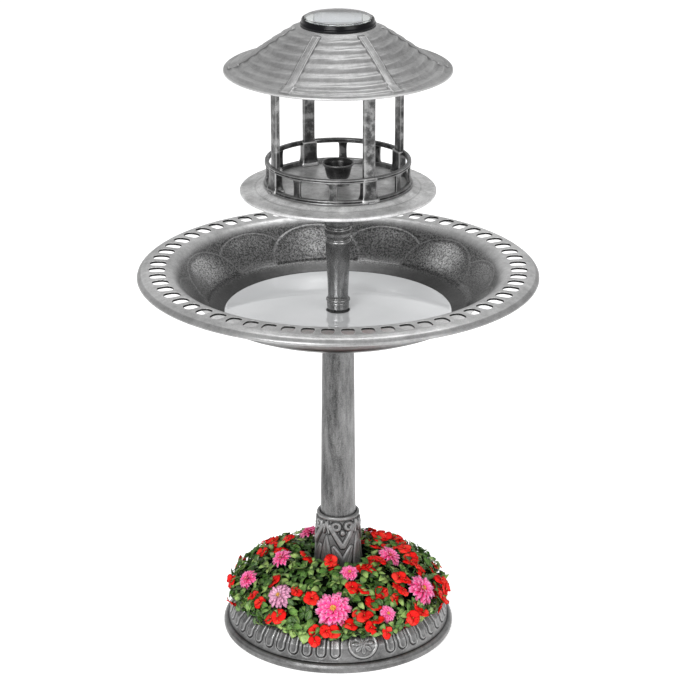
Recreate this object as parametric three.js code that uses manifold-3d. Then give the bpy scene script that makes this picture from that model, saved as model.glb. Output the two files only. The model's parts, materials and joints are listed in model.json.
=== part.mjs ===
// Garden bird bath: a planter base, a column, a wide bowl with a pierced rim, and a small
// roofed feeder tier with a solar light. Millimetres, +Z up, the origin on the ground under
// the column's axis, the front towards -Y.
import * as THREE from 'three';
import { mergeVertices } from 'three/addons/utils/BufferGeometryUtils.js';
import Module from 'manifold-3d';

const wasm = await Module();
wasm.setup();

// ---------------------------------------------------------------- driving dimensions
const GAP = 0.3;              // between pieces that touch
const WALL = 3;               // moulded wall thickness

const BASE_RADIUS = 149;
const BASE_HEIGHT = 46;
const TROUGH_RADIUS = 106;
const TROUGH_FLOOR = 14;
const SOCKET_RADIUS = 34;     // the base's central socket, outside
const PLANTING_HEIGHT = 93;
const PLANTING_RADIUS = 136;

const COLLAR_FOOT_Z = 15;
const COLLAR_TOP_Z = 159;
const COLUMN_FOOT_Z = 95;
const COLUMN_FOOT_RADIUS = 23;
const COLUMN_TOP_RADIUS = 20;
const COLUMN_TOP_Z = 399;
const COLUMN_SHOULDER_Z = 165; // where the column starts to taper
const COLUMN_SHOULDER_RADIUS = 22.5;
const COLUMN_WALL = 2.5;

const BOWL_RADIUS = 250;
const BOWL_EDGE_Z = 482;
const BOWL_FLOOR_Z = 412;
const RIM_CREST_RADIUS = 236;
const RIM_CREST_Z = 491;
const SLOT_COUNT = 60;
const SLOT_RADIUS = 224.5;    // centre of the pierced band
const SLOT_LENGTH = 20;       // along the radius
const SLOT_WIDTH = 15.4;

const BOSS_RADIUS = 14;
const BOSS_TOP_Z = 446;
const SPIGOT_RADIUS = 8;
const SPIGOT_TOP_Z = 486;
const STUD_RADIUS = 6;
const STUD_FOOT_Z = 366;

const POST_FOOT_Z = BOSS_TOP_Z + GAP;
const POST_TOP_Z = 545;
const TRAY_RADIUS = 120.8;
const TRAY_EDGE_Z = 592;
const PLATFORM_Z = 599;       // the tray's top surface inside the gallery
const PLATFORM_RADIUS = 95;
const GALLERY_RADIUS = 87;
const GALLERY_RAIL_Z = 629;
const STATION_COUNT = 12;     // balusters and post sockets together
const STATION_STEP = 30;
const STATION_START = -4;     // azimuth of the first baluster, degrees from the front
const POST_AZIMUTHS = [26, 116, -154, -64];
const BAR_RADIUS = 84;        // the roof posts' circle
const BAR_WIDTH = 15;
const BAR_DEPTH = 6.6;
const SLEEVE_WALL = 2.1;      // of the sockets round the bars
const SLEEVE_SIZE = [BAR_WIDTH + 2 * SLEEVE_WALL, BAR_DEPTH + 2 * SLEEVE_WALL];
const BAR_TOP_Z = 764;

const ROOF_RADIUS = 138.8;
const ROOF_EDGE_Z = 745.3;
const ROOF_SEAT_Z = 798;
const ROOF_HOLE_RADIUS = 40.5;
const BATTEN_COUNT = 6;
const BATTEN_START = 32;      // azimuth of one batten
const BATTEN_WIDTH = 10;
const BATTEN_RISE = 1.6;
const BATTEN_ROOT = 1.2;

const LIGHT_RADIUS = 45.9;
const LIGHT_TUBE_RADIUS = 39.5;
const LIGHT_TOP_Z = 808.5;
const LIGHT_FLOOR_Z = 768;
const LENS_RADIUS = 15;
const LENS_FOOT_Z = 707;
const BATTERY_RADIUS = 7.2;
const BATTERY_LENGTH = 30;
const BATTERY_Y = 24;
const BATTERY_Z = 783;

const ROUND = 36;             // sides of a large round piece
const MEDIUM = 20;
const SMALL = 12;

// ---------------------------------------------------------------- materials
const colours = {
  pewter: { color: 0x8b8c8c, roughness: 0.5, metalness: 0.35 },
  darkPewter: { color: 0x4a4b4c, roughness: 0.5, metalness: 0.35 },
  black: { color: 0x101112, roughness: 0.3, metalness: 0 },
  rubber: { color: 0x242424, roughness: 0.85, metalness: 0 },
  steel: { color: 0xb4b6b8, roughness: 0.35, metalness: 1 },
  brass: { color: 0xb08d4a, roughness: 0.4, metalness: 1 },
  soil: { color: 0x2c2018, roughness: 1, metalness: 0 },
  leaf: { color: 0x2f6b2a, roughness: 0.8, metalness: 0 },
  clear: { color: 0xdfe6ea, roughness: 0.05, metalness: 0 },
  cell: { color: 0x9a9da2, roughness: 0.3, metalness: 0 },
  board: { color: 0x1f5b34, roughness: 0.6, metalness: 0 },
  wrap: { color: 0x3f7f9f, roughness: 0.4, metalness: 0 },
  white: { color: 0xf2f2ee, roughness: 0.4, metalness: 0 },
};
for (const [name, values] of Object.entries(colours)) {
  colours[name] = new THREE.MeshStandardMaterial(values);
}

// ---------------------------------------------------------------- geometry helpers

// A closed ring or a full turned piece about +Z from [radius, height] points, listed anticlockwise
// in the radius-height plane, so that its faces point out. Azimuth 0 is the front.
function turned(points, sides, close = true) {
  const profile = points.map(([radius, height]) => new THREE.Vector2(radius, height));
  if (close) profile.push(profile[0].clone());
  const geometry = new THREE.LatheGeometry(profile, sides);
  return geometry.rotateX(Math.PI / 2);
}

// A solid turned piece: the outline of its outside from the bottom's axis to the top's axis.
function turnedSolid(points, sides) {
  const first = [0, points[0][1]];
  const last = [0, points[points.length - 1][1]];
  return turned([first, ...points, last], sides, false);
}

function cylinder(radius, low, high, sides = SMALL) {
  return turnedSolid([[radius, low], [radius, high]], sides);
}

function tube(outer, inner, low, high, sides = MEDIUM) {
  return turned([[inner, low], [outer, low], [outer, high], [inner, high]], sides);
}

// A block whose top and bottom may differ, standing on z = low.
function taperedBlock(bottom, top, low, high) {
  const height = high - low;
  const geometry = new THREE.BoxGeometry(1, 1, height);
  const place = geometry.attributes.position;
  for (let i = 0; i < place.count; i++) {
    const size = place.getZ(i) > 0 ? top : bottom;
    place.setX(i, place.getX(i) * size[0]);
    place.setY(i, place.getY(i) * size[1]);
  }
  return geometry.translate(0, 0, low + height / 2);
}

function block(width, depth, low, high) {
  return taperedBlock([width, depth], [width, depth], low, high);
}

// A prism of an outline in the XY plane.
function prism(outline, low, high, curveSegments = 4) {
  const settings = { depth: high - low, bevelEnabled: false, curveSegments };
  return new THREE.ExtrudeGeometry(outline, settings).translate(0, 0, low);
}

// Turns a geometry laid out at the front to an azimuth, in degrees towards +X.
function atAzimuth(geometry, degrees) {
  return geometry.rotateZ(THREE.MathUtils.degToRad(degrees));
}

function toSolid(geometry) {
  const bare = geometry.clone();
  bare.deleteAttribute('normal');
  bare.deleteAttribute('uv');
  const merged = mergeVertices(bare, 1e-4);
  const corners = merged.index.array;
  const kept = [];
  for (let i = 0; i < corners.length; i += 3) {
    const [a, b, c] = [corners[i], corners[i + 1], corners[i + 2]];
    if (a !== b && b !== c && c !== a) kept.push(a, b, c);
  }
  const vertProperties = new Float32Array(merged.attributes.position.array);
  const triVerts = new Uint32Array(kept);
  return new wasm.Manifold(new wasm.Mesh({ numProp: 3, vertProperties, triVerts }));
}

function toGeometry(solid) {
  const mesh = solid.getMesh();
  const geometry = new THREE.BufferGeometry();
  geometry.setAttribute('position', new THREE.Float32BufferAttribute(mesh.vertProperties, 3));
  geometry.setIndex(Array.from(mesh.triVerts));
  geometry.computeVertexNormals();
  return geometry;
}

function joined(...geometries) {
  const solids = geometries.map(toSolid);
  return toGeometry(solids.reduce((whole, solid) => whole.add(solid)));
}

function cut(geometry, ...cutters) {
  const solids = cutters.map(toSolid);
  return toGeometry(solids.reduce((whole, solid) => whole.subtract(solid), toSolid(geometry)));
}

function common(first, second) {
  return toGeometry(toSolid(first).intersect(toSolid(second)));
}

const birdBath = new THREE.Group();

function add(name, geometry, material) {
  const mesh = new THREE.Mesh(geometry, material);
  mesh.name = name;
  birdBath.add(mesh);
  return mesh;
}

// ---------------------------------------------------------------- planter base

const PLATE_THICKNESS = 3;
const PLATE_RADIUS = 142;
const SCREW_CIRCLE = 118;
const BASE_SCREWS = 4;
const PLUG_RADIUS = 11;
const PLUG_PLACE = 78;

function planterBase() {
  const shell = turned([
    [144.5, 0], [BASE_RADIUS, 0], [BASE_RADIUS, 9], [142, 13], [140.5, 22],
    [136.5, 32], [127.5, 40.5], [114, 45.4], [TROUGH_RADIUS, BASE_HEIGHT],
    [100, TROUGH_FLOOR], [SOCKET_RADIUS, TROUGH_FLOOR], [SOCKET_RADIUS, 48],
    [SOCKET_RADIUS - 2, 48], [SOCKET_RADIUS - 2, COLLAR_FOOT_Z - GAP], [28, COLLAR_FOOT_Z - GAP],
    [28, 11], [102.5, 11], [108.5, 42.6], [125.5, 37.8], [133.5, 30], [138.6, 10.5],
  ], ROUND);
  const bosses = [];
  for (let i = 0; i < BASE_SCREWS; i++) {
    const boss = tube(5, 1.6, PLATE_THICKNESS + GAP, 40.4, 8);
    boss.translate(0, -SCREW_CIRCLE, 0);
    bosses.push(atAzimuth(boss, 45 + i * 360 / BASE_SCREWS));
  }
  return joined(shell, ...bosses);
}

function basePlate() {
  const disc = cylinder(PLATE_RADIUS, 0, PLATE_THICKNESS, ROUND);
  const holes = [];
  for (let i = 0; i < BASE_SCREWS; i++) {
    const hole = joined(
      cylinder(2, -1, PLATE_THICKNESS + 1),
      cylinder(4.2, -1, 1.6),
    ).translate(0, -SCREW_CIRCLE, 0);
    holes.push(atAzimuth(hole, 45 + i * 360 / BASE_SCREWS));
  }
  const plugHole = cylinder(PLUG_RADIUS - 2 + GAP, -1, PLATE_THICKNESS + 1).translate(0, PLUG_PLACE, 0);
  const plugSeat = cylinder(PLUG_RADIUS + GAP, -1, 1.6).translate(0, PLUG_PLACE, 0);
  return cut(disc, ...holes, plugHole, plugSeat);
}

add('planter_base', planterBase(), colours.pewter);
add('base_plate', basePlate(), colours.black);
add('filler_plug', turnedSolid([
  [PLUG_RADIUS, 0.2], [PLUG_RADIUS, 1.3], [PLUG_RADIUS - 2, 1.3], [PLUG_RADIUS - 2, 7],
], SMALL).translate(0, PLUG_PLACE, 0), colours.rubber);
for (let i = 0; i < BASE_SCREWS; i++) {
  const screw = turnedSolid([[3.9, 0.2], [3.9, 1.3], [1.3, 1.3], [1.3, 14]], SMALL);
  screw.translate(0, -SCREW_CIRCLE, 0);
  add(`base_screw_${i + 1}`, atAzimuth(screw, 45 + i * 360 / BASE_SCREWS), colours.steel);
}
add('potting_soil', turned([
  [SOCKET_RADIUS + GAP, TROUGH_FLOOR + GAP], [99.4, TROUGH_FLOOR + GAP], [104.6, 42],
  [SOCKET_RADIUS + GAP, 42],
], ROUND), colours.soil);
add('flower_planting', turned([
  [36, 42 + GAP], [104, 42 + GAP], [106, BASE_HEIGHT + 1], [PLANTING_RADIUS - 8, BASE_HEIGHT + 3],
  [PLANTING_RADIUS, 56], [PLANTING_RADIUS - 9, 68], [104, 81], [78, PLANTING_HEIGHT - 3],
  [56, PLANTING_HEIGHT], [36, 86],
], ROUND), colours.leaf);

// ---------------------------------------------------------------- column and its collar

add('column_collar', turned([
  [26, COLLAR_FOOT_Z], [SOCKET_RADIUS - 2 - GAP, COLLAR_FOOT_Z], [SOCKET_RADIUS - 2 - GAP, 62],
  [30.5, 82], [29, 108], [27, COLLAR_TOP_Z - 14], [26, COLLAR_TOP_Z - 7], [26.2, COLLAR_TOP_Z - 5],
  [27.6, COLLAR_TOP_Z - 3.5], [27.6, COLLAR_TOP_Z - 1.2], [26.4, COLLAR_TOP_Z], [23.8, COLLAR_TOP_Z],
  [23.8, COLUMN_FOOT_Z - GAP],
  [20, COLUMN_FOOT_Z - GAP - 2], [20, 88], [26, 82],
], MEDIUM), colours.pewter);
add('column', turned([
  [COLUMN_FOOT_RADIUS - COLUMN_WALL, COLUMN_FOOT_Z], [COLUMN_FOOT_RADIUS, COLUMN_FOOT_Z],
  [COLUMN_FOOT_RADIUS, COLLAR_TOP_Z - 4], [COLUMN_SHOULDER_RADIUS, COLUMN_SHOULDER_Z],
  [COLUMN_TOP_RADIUS, COLUMN_TOP_Z], [COLUMN_TOP_RADIUS - COLUMN_WALL, COLUMN_TOP_Z],
  [COLUMN_TOP_RADIUS - COLUMN_WALL, 360], [COLUMN_FOOT_RADIUS - COLUMN_WALL, COLUMN_SHOULDER_Z],
], MEDIUM), colours.pewter);

// ---------------------------------------------------------------- bowl and how it is held

const HUB_PLUG_RADIUS = COLUMN_TOP_RADIUS - COLUMN_WALL - GAP;
const SEAL_LOW_Z = 406.4;
const BOWL_UNDERSIDE_Z = BOWL_FLOOR_Z - WALL;

add('column_hub', turned([
  [STUD_RADIUS + GAP, 384], [HUB_PLUG_RADIUS, 384], [HUB_PLUG_RADIUS, COLUMN_TOP_Z + GAP],
  [30, COLUMN_TOP_Z + GAP], [52, 403], [52, SEAL_LOW_Z - GAP], [STUD_RADIUS + GAP, SEAL_LOW_Z - GAP],
], MEDIUM), colours.pewter);
add('bowl_seal', tube(50, 14, SEAL_LOW_Z, BOWL_UNDERSIDE_Z - GAP), colours.rubber);

// The pierced rim's slot: a rounded opening whose long side lies along the radius.
function slotCutter() {
  const half = SLOT_LENGTH / 2;
  const side = SLOT_WIDTH / 2;
  const corner = 4.5;
  const outline = new THREE.Shape([
    [0, -half - 1], [side, -half + corner], [side, half - corner],
    [0, half + 1], [-side, half - corner], [-side, -half + corner],
  ].map(([x, y]) => new THREE.Vector2(x, y)));
  return prism(outline, RIM_CREST_Z - 12, RIM_CREST_Z + 6).translate(0, -SLOT_RADIUS, 0);
}

function bowl() {
  const shell = turned([
    [STUD_RADIUS + GAP, BOWL_UNDERSIDE_Z], [76, BOWL_UNDERSIDE_Z], [143, 430.8],
    [166, 441.6], [203, 482.6], [211, 487.5], [RIM_CREST_RADIUS - 1, RIM_CREST_Z - WALL],
    [248.8, 480.4], [BOWL_RADIUS, BOWL_EDGE_Z], [246.2, 486.8], [RIM_CREST_RADIUS, RIM_CREST_Z],
    [211, 490.4], [201, 485], [165, 445], [142, 433.8],
    [76, BOWL_FLOOR_Z], [STUD_RADIUS + GAP, BOWL_FLOOR_Z],
  ], SLOT_COUNT);
  const slots = [];
  for (let i = 0; i < SLOT_COUNT; i++) {
    slots.push(atAzimuth(slotCutter(), (i + 0.5) * 360 / SLOT_COUNT));
  }
  return cut(shell, ...slots);
}

add('bowl', bowl(), colours.pewter);
add('bowl_boss', turnedSolid([
  [STUD_RADIUS, STUD_FOOT_Z], [STUD_RADIUS, BOWL_FLOOR_Z + GAP], [20, BOWL_FLOOR_Z + GAP],
  [20, 415], [15.4, 417], [12.6, 424], [12.2, 434], [12.6, 437], [BOSS_RADIUS, 439],
  [BOSS_RADIUS, BOSS_TOP_Z], [SPIGOT_RADIUS, BOSS_TOP_Z], [SPIGOT_RADIUS, SPIGOT_TOP_Z - 2],
  [SPIGOT_RADIUS - 2, SPIGOT_TOP_Z],
], MEDIUM), colours.darkPewter);

add('clamp_nut', cut(
  cylinder(13, 375, 384 - GAP, 6),
  cylinder(STUD_RADIUS + GAP, 374, 385, MEDIUM),
), colours.steel);

// ---------------------------------------------------------------- upper post and tray support

const POST_BORE = SPIGOT_RADIUS + GAP;
const BAND_LOW_Z = 533;
const BAND_HIGH_Z = 543.4;
const CONE_TOP_Z = 584;

add('upper_post', turned([
  [POST_BORE, POST_FOOT_Z], [15, POST_FOOT_Z], [15.2, 449.5], [12.9, 451.4], [12.5, 456],
  [15.4, 522], [15.9, 526], [14.3, 529], [14.3, POST_TOP_Z - GAP], [11.6, POST_TOP_Z - GAP],
  [11.6, 522], [9.4, 490], [POST_BORE, 484],
], MEDIUM), colours.pewter);
add('post_band', tube(16.8, 14.3 + GAP, BAND_LOW_Z, BAND_HIGH_Z), colours.pewter);
add('tray_socket', turned([
  [3.4, 548], [3.4, POST_TOP_Z], [16, POST_TOP_Z], [17.5, 549], [20.4, 556], [21.4, 570],
  [24, 578], [30, CONE_TOP_Z], [3.4, CONE_TOP_Z],
], MEDIUM), colours.pewter);

// ---------------------------------------------------------------- feeder tray and gallery

const FEET_Z = PLATFORM_Z + GAP;

add('feeder_tray', turned([
  [3.4, CONE_TOP_Z + GAP], [31, CONE_TOP_Z + GAP], [38, 592], [80, 593.6],
  [119.6, 588.2], [TRAY_RADIUS, 590], [TRAY_RADIUS, TRAY_EDGE_Z], [119, 593.6],
  [97.5, 596.4], [PLATFORM_RADIUS, PLATFORM_Z], [14, PLATFORM_Z], [14, 595],
  [3.4, 595],
], ROUND), colours.pewter);
add('tray_bolt', turnedSolid([
  [3, 551], [3, 595 + GAP], [6.4, 595 + GAP], [6.4, 598.4],
], 8), colours.steel);

function station(index) {
  return STATION_START + index * STATION_STEP;
}

function galleryRail() {
  const lowRing = turned([
    [GALLERY_RADIUS - 3, FEET_Z], [GALLERY_RADIUS + 3.6, FEET_Z], [GALLERY_RADIUS + 3, FEET_Z + 4],
    [GALLERY_RADIUS - 2, FEET_Z + 4],
  ], 36);
  const rail = turned([
    [GALLERY_RADIUS - 2.4, GALLERY_RAIL_Z - 2.5], [GALLERY_RADIUS + 2.4, GALLERY_RAIL_Z - 2.5],
    [GALLERY_RADIUS + 2.4, GALLERY_RAIL_Z + 1.4], [GALLERY_RADIUS, GALLERY_RAIL_Z + 2.6],
    [GALLERY_RADIUS - 2.4, GALLERY_RAIL_Z + 1.4],
  ], 36);
  const uprights = [];
  for (let i = 0; i < STATION_COUNT; i++) {
    if (i % 3 === 1) continue;
    const baluster = block(9.7, 3.6, FEET_Z + 2, GALLERY_RAIL_Z - 1);
    baluster.translate(0, -GALLERY_RADIUS, 0);
    uprights.push(atAzimuth(baluster, station(i)));
  }
  const holes = [];
  for (const azimuth of POST_AZIMUTHS) {
    const foot = taperedBlock([24, 15], SLEEVE_SIZE, FEET_Z, FEET_Z + 12);
    const sleeve = block(...SLEEVE_SIZE, FEET_Z + 11, GALLERY_RAIL_Z + 2);
    for (const piece of [foot, sleeve]) {
      uprights.push(atAzimuth(piece.translate(0, -BAR_RADIUS, 0), azimuth));
    }
    const hole = block(BAR_WIDTH + 2 * GAP, BAR_DEPTH + 2 * GAP, FEET_Z + 3, GALLERY_RAIL_Z + 9);
    holes.push(atAzimuth(hole.translate(0, -BAR_RADIUS, 0), azimuth));
  }
  return cut(joined(lowRing, rail, ...uprights), ...holes);
}

add('gallery_rail', galleryRail(), colours.darkPewter);
add('seed_cup', turned([
  [0, FEET_Z], [11.5, FEET_Z], [11.8, 602], [9.6, 605], [10.4, 608], [15.2, 611.5], [16.6, 616],
  [18.2, 623], [20, 625], [19.8, 626.4], [17.2, 625.2], [15, 616.5], [13, 612.6], [0, 610.6],
], MEDIUM, false), colours.darkPewter);

// ---------------------------------------------------------------- roof and its posts

const SOCKET_FOOT_Z = 752;
const SCREW_Z = 757;

POST_AZIMUTHS.forEach((azimuth, index) => {
  const bar = block(BAR_WIDTH, BAR_DEPTH, FEET_Z + 3 + GAP, BAR_TOP_Z);
  const hole = cylinder(1.8, -8, 8, 8).rotateX(Math.PI / 2).translate(0, 0, SCREW_Z);
  const post = toGeometry(toSolid(bar).subtract(toSolid(hole))).translate(0, -BAR_RADIUS, 0);
  add(`roof_post_${index + 1}`, atAzimuth(post, azimuth), colours.darkPewter);
});

// Outside of the roof from the seat of the light down to the rim: a slightly hollow cone that
// flares out flat.
const ROOF_OUTSIDE = [
  [46.6, ROOF_SEAT_Z], [75, 781], [100, 763], [112, 754.5], [122, 748.9],
  [ROOF_RADIUS, ROOF_EDGE_Z],
];

function roof() {
  const inside = [
    [ROOF_RADIUS, ROOF_EDGE_Z - 3.2], [120.8, 745.6], [110.2, 751.2],
    [98, 759.6], [73, 777.6], [45.6, 794.6], [ROOF_HOLE_RADIUS, 794.6],
  ];
  const shell = turned([
    [ROOF_HOLE_RADIUS, ROOF_SEAT_Z], ...inside.slice().reverse(), ...ROOF_OUTSIDE.slice().reverse(),
  ], ROUND);
  const parts = [];
  const crown = ROOF_OUTSIDE.slice(1, -1);
  const outline = new THREE.Shape([
    ...crown.map(([radius, z]) => new THREE.Vector2(radius, z + BATTEN_RISE)),
    ...crown.map(([radius, z]) => new THREE.Vector2(radius, z - BATTEN_ROOT)).reverse(),
  ]);
  for (let i = 0; i < BATTEN_COUNT; i++) {
    const batten = prism(outline, -BATTEN_WIDTH / 2, BATTEN_WIDTH / 2);
    batten.rotateX(Math.PI / 2).rotateZ(-Math.PI / 2);
    parts.push(atAzimuth(batten, BATTEN_START + i * 360 / BATTEN_COUNT));
  }
  const sleeves = [];
  const holes = [];
  for (const azimuth of POST_AZIMUTHS) {
    const sleeve = block(...SLEEVE_SIZE, SOCKET_FOOT_Z, ROOF_SEAT_Z);
    sleeves.push(atAzimuth(sleeve.translate(0, -BAR_RADIUS, 0), azimuth));
    const bore = block(BAR_WIDTH + 2 * GAP, BAR_DEPTH + 2 * GAP, SOCKET_FOOT_Z - 2, BAR_TOP_Z + GAP);
    holes.push(atAzimuth(bore.translate(0, -BAR_RADIUS, 0), azimuth));
    const screwHole = cylinder(1.8, -12, 0, 8).rotateX(Math.PI / 2).translate(0, 0, SCREW_Z);
    holes.push(atAzimuth(screwHole.translate(0, -BAR_RADIUS, 0), azimuth));
  }
  const inner = ROOF_OUTSIDE.map(([radius, z]) => [radius, z - 1]).reverse();
  const underRoof = turned([[0, 740], [ROOF_RADIUS, 740], ...inner, [0, ROOF_SEAT_Z - 1]], ROUND, false);
  return cut(joined(shell, ...parts, common(joined(...sleeves), underRoof)), ...holes);
}

add('roof', roof(), colours.pewter);

// Short screws from the inside of the roof's sockets into the posts.
POST_AZIMUTHS.forEach((azimuth, index) => {
  const screw = turnedSolid([[1.5, -BAR_DEPTH - 1.6], [1.5, 0], [3.2, 0], [3.2, 1.8]], 8);
  screw.rotateX(-Math.PI / 2).translate(0, -BAR_RADIUS + BAR_DEPTH / 2 + SLEEVE_WALL + GAP, SCREW_Z);
  add(`post_screw_${index + 1}`, atAzimuth(screw, azimuth), colours.steel);
});

// ---------------------------------------------------------------- solar light

const FLANGE_Z = ROOF_SEAT_Z + GAP;
const TUBE_INNER = LIGHT_TUBE_RADIUS - 2;
const COVER_SEAT_Z = 801;
const COVER_RADIUS = 41.1;
const FLOOR_TOP_Z = LIGHT_FLOOR_Z + 3;
const DOOR_WIDTH = 16;
const DOOR_LENGTH = 37;
const DOOR_Z = LIGHT_FLOOR_Z - 2.6;
const HOUSING_SCREWS = 3;
const SWITCH_PLACE = [-20, -20];
const SWITCH_TRAVEL = 4;

add('light_housing', turned([
  [TUBE_INNER, LIGHT_FLOOR_Z], [LIGHT_TUBE_RADIUS, LIGHT_FLOOR_Z], [LIGHT_TUBE_RADIUS, FLANGE_Z],
  [LIGHT_RADIUS, FLANGE_Z], [LIGHT_RADIUS, 801.2], [44.2, 802.6], [43.4, 804.8], [42.6, 805.4],
  [COVER_RADIUS + GAP, 805.4], [COVER_RADIUS + GAP, COVER_SEAT_Z], [TUBE_INNER, COVER_SEAT_Z],
], ROUND), colours.black);
add('cover_seal', tube(COVER_RADIUS - GAP, 39.4, COVER_SEAT_Z + GAP, 802.2), colours.rubber);
add('solar_cover', turnedSolid([
  [39.2, 807], [39.2, 802.5], [COVER_RADIUS, 802.5], [COVER_RADIUS, LIGHT_TOP_Z - 1],
  [COVER_RADIUS - 0.9, LIGHT_TOP_Z],
], ROUND), colours.clear);

function clippedSquare(side, clip) {
  const half = side / 2;
  const outline = new THREE.Shape();
  for (let i = 0; i < 4; i++) {
    const turn = new THREE.Vector2();
    for (const [x, y] of [[half, -half + clip], [half, half - clip]]) {
      turn.set(x, y).rotateAround(new THREE.Vector2(), i * Math.PI / 2);
      if (i === 0 && y < 0) outline.moveTo(turn.x, turn.y);
      else outline.lineTo(turn.x, turn.y);
    }
  }
  outline.closePath();
  return outline;
}

add('cell_carrier', cylinder(38.9, COVER_SEAT_Z + GAP, 805, ROUND), colours.white);
add('solar_cell', prism(clippedSquare(58, 10), 805.3, 806.5), colours.cell);
add('circuit_board', cylinder(34, 794, 795.6, MEDIUM), colours.board);

// The floor of the housing, with openings for the battery, the switch and the lens.
function housingBase() {
  const disc = cylinder(TUBE_INNER - GAP, LIGHT_FLOOR_Z, FLOOR_TOP_Z, ROUND);
  const bay = block(BATTERY_LENGTH + 3, DOOR_WIDTH - 1.2, LIGHT_FLOOR_Z - 1, FLOOR_TOP_Z + 1);
  const lensHole = cylinder(LENS_RADIUS - 2 + GAP, LIGHT_FLOOR_Z - 1, FLOOR_TOP_Z + 1, MEDIUM);
  const switchHole = block(4 + SWITCH_TRAVEL + 1, 5, LIGHT_FLOOR_Z - 1, FLOOR_TOP_Z + 1);
  const cutters = [
    bay.translate(0, BATTERY_Y, 0),
    lensHole,
    switchHole.translate(SWITCH_PLACE[0] + SWITCH_TRAVEL / 2, SWITCH_PLACE[1], 0),
  ];
  for (let i = 0; i < HOUSING_SCREWS; i++) {
    const hole = cylinder(1.5, LIGHT_FLOOR_Z - 1, FLOOR_TOP_Z + 1, 8).translate(0, -32, 0);
    cutters.push(atAzimuth(hole, i * 60 - 60));
  }
  const rails = [];
  for (const side of [-1, 1]) {
    const wallX = side * (DOOR_LENGTH / 2 + GAP + 0.8);
    const wall = block(1.6, 13, DOOR_Z - 1.8, LIGHT_FLOOR_Z + 0.5).translate(wallX, BATTERY_Y, 0);
    const lip = block(3, 13, DOOR_Z - 1.8, DOOR_Z - GAP).translate(wallX - side * 0.7, BATTERY_Y, 0);
    rails.push(wall, lip);
  }
  return joined(cut(disc, ...cutters), ...rails);
}

add('housing_base', housingBase(), colours.black);
for (let i = 0; i < HOUSING_SCREWS; i++) {
  const screw = turnedSolid([
    [2.6, LIGHT_FLOOR_Z - 1.9], [2.6, LIGHT_FLOOR_Z - GAP], [1.2, LIGHT_FLOOR_Z - GAP],
    [1.2, LIGHT_FLOOR_Z + 9],
  ], 8).translate(0, -32, 0);
  add(`housing_screw_${i + 1}`, atAzimuth(screw, i * 60 - 60), colours.steel);
}

function lying(geometry, x) {
  return geometry.rotateY(Math.PI / 2).translate(x, BATTERY_Y, BATTERY_Z);
}

add('battery', lying(turnedSolid([
  [BATTERY_RADIUS, 0], [BATTERY_RADIUS, BATTERY_LENGTH - 2], [2.8, BATTERY_LENGTH - 2],
  [2.8, BATTERY_LENGTH],
], SMALL), -BATTERY_LENGTH / 2), colours.wrap);
add('contact_spring', lying(turnedSolid([[5.5, 0], [5.5, 0.8], [2.4, 4]], SMALL),
  -BATTERY_LENGTH / 2 - 4 - GAP), colours.brass);
add('contact_plate', block(0.8, 11, BATTERY_Z - 6, BATTERY_Z + 6)
  .translate(BATTERY_LENGTH / 2 + GAP + 0.4, BATTERY_Y, 0), colours.brass);
add('battery_door', joined(
  block(DOOR_LENGTH, DOOR_WIDTH, DOOR_Z, LIGHT_FLOOR_Z - GAP),
  block(14, 3, DOOR_Z - 1.4, DOOR_Z + 0.5),
).translate(0, BATTERY_Y, 0), colours.black);
add('switch_slider', joined(
  block(4, 4.2, LIGHT_FLOOR_Z - 3, FLOOR_TOP_Z + 3),
  block(4, 7, FLOOR_TOP_Z + GAP, FLOOR_TOP_Z + 3),
).translate(SWITCH_PLACE[0], SWITCH_PLACE[1], 0), colours.white);
add('reflector', turned([
  [5, 779], [LENS_RADIUS - 3.4, FLOOR_TOP_Z - 1], [LENS_RADIUS - 2, FLOOR_TOP_Z - 1],
  [LENS_RADIUS - 2, FLOOR_TOP_Z + 2], [6.4, 780.4], [5, 780.4],
], MEDIUM), colours.white);
add('led', turnedSolid([[1.4, 774], [2.3, 775], [2.5, 776.5], [2.5, 782], [3.2, 782], [3.2, 783]], SMALL),
  colours.clear);
add('led_lens', turned([
  [0, LENS_FOOT_Z], [7, LENS_FOOT_Z + 2], [12, LENS_FOOT_Z + 7], [LENS_RADIUS - 1, LENS_FOOT_Z + 16],
  [LENS_RADIUS, 745], [LENS_RADIUS, LIGHT_FLOOR_Z - GAP], [LENS_RADIUS - 3, LIGHT_FLOOR_Z - GAP],
  [LENS_RADIUS - 3, 745], [LENS_RADIUS - 4, LENS_FOOT_Z + 18], [9, LENS_FOOT_Z + 9],
  [0, LENS_FOOT_Z + 4],
], MEDIUM, false), colours.clear);

export default birdBath;
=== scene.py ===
import json
import math
import random

import bmesh
import bpy
import numpy as np
from mathutils import Matrix, Vector


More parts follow.
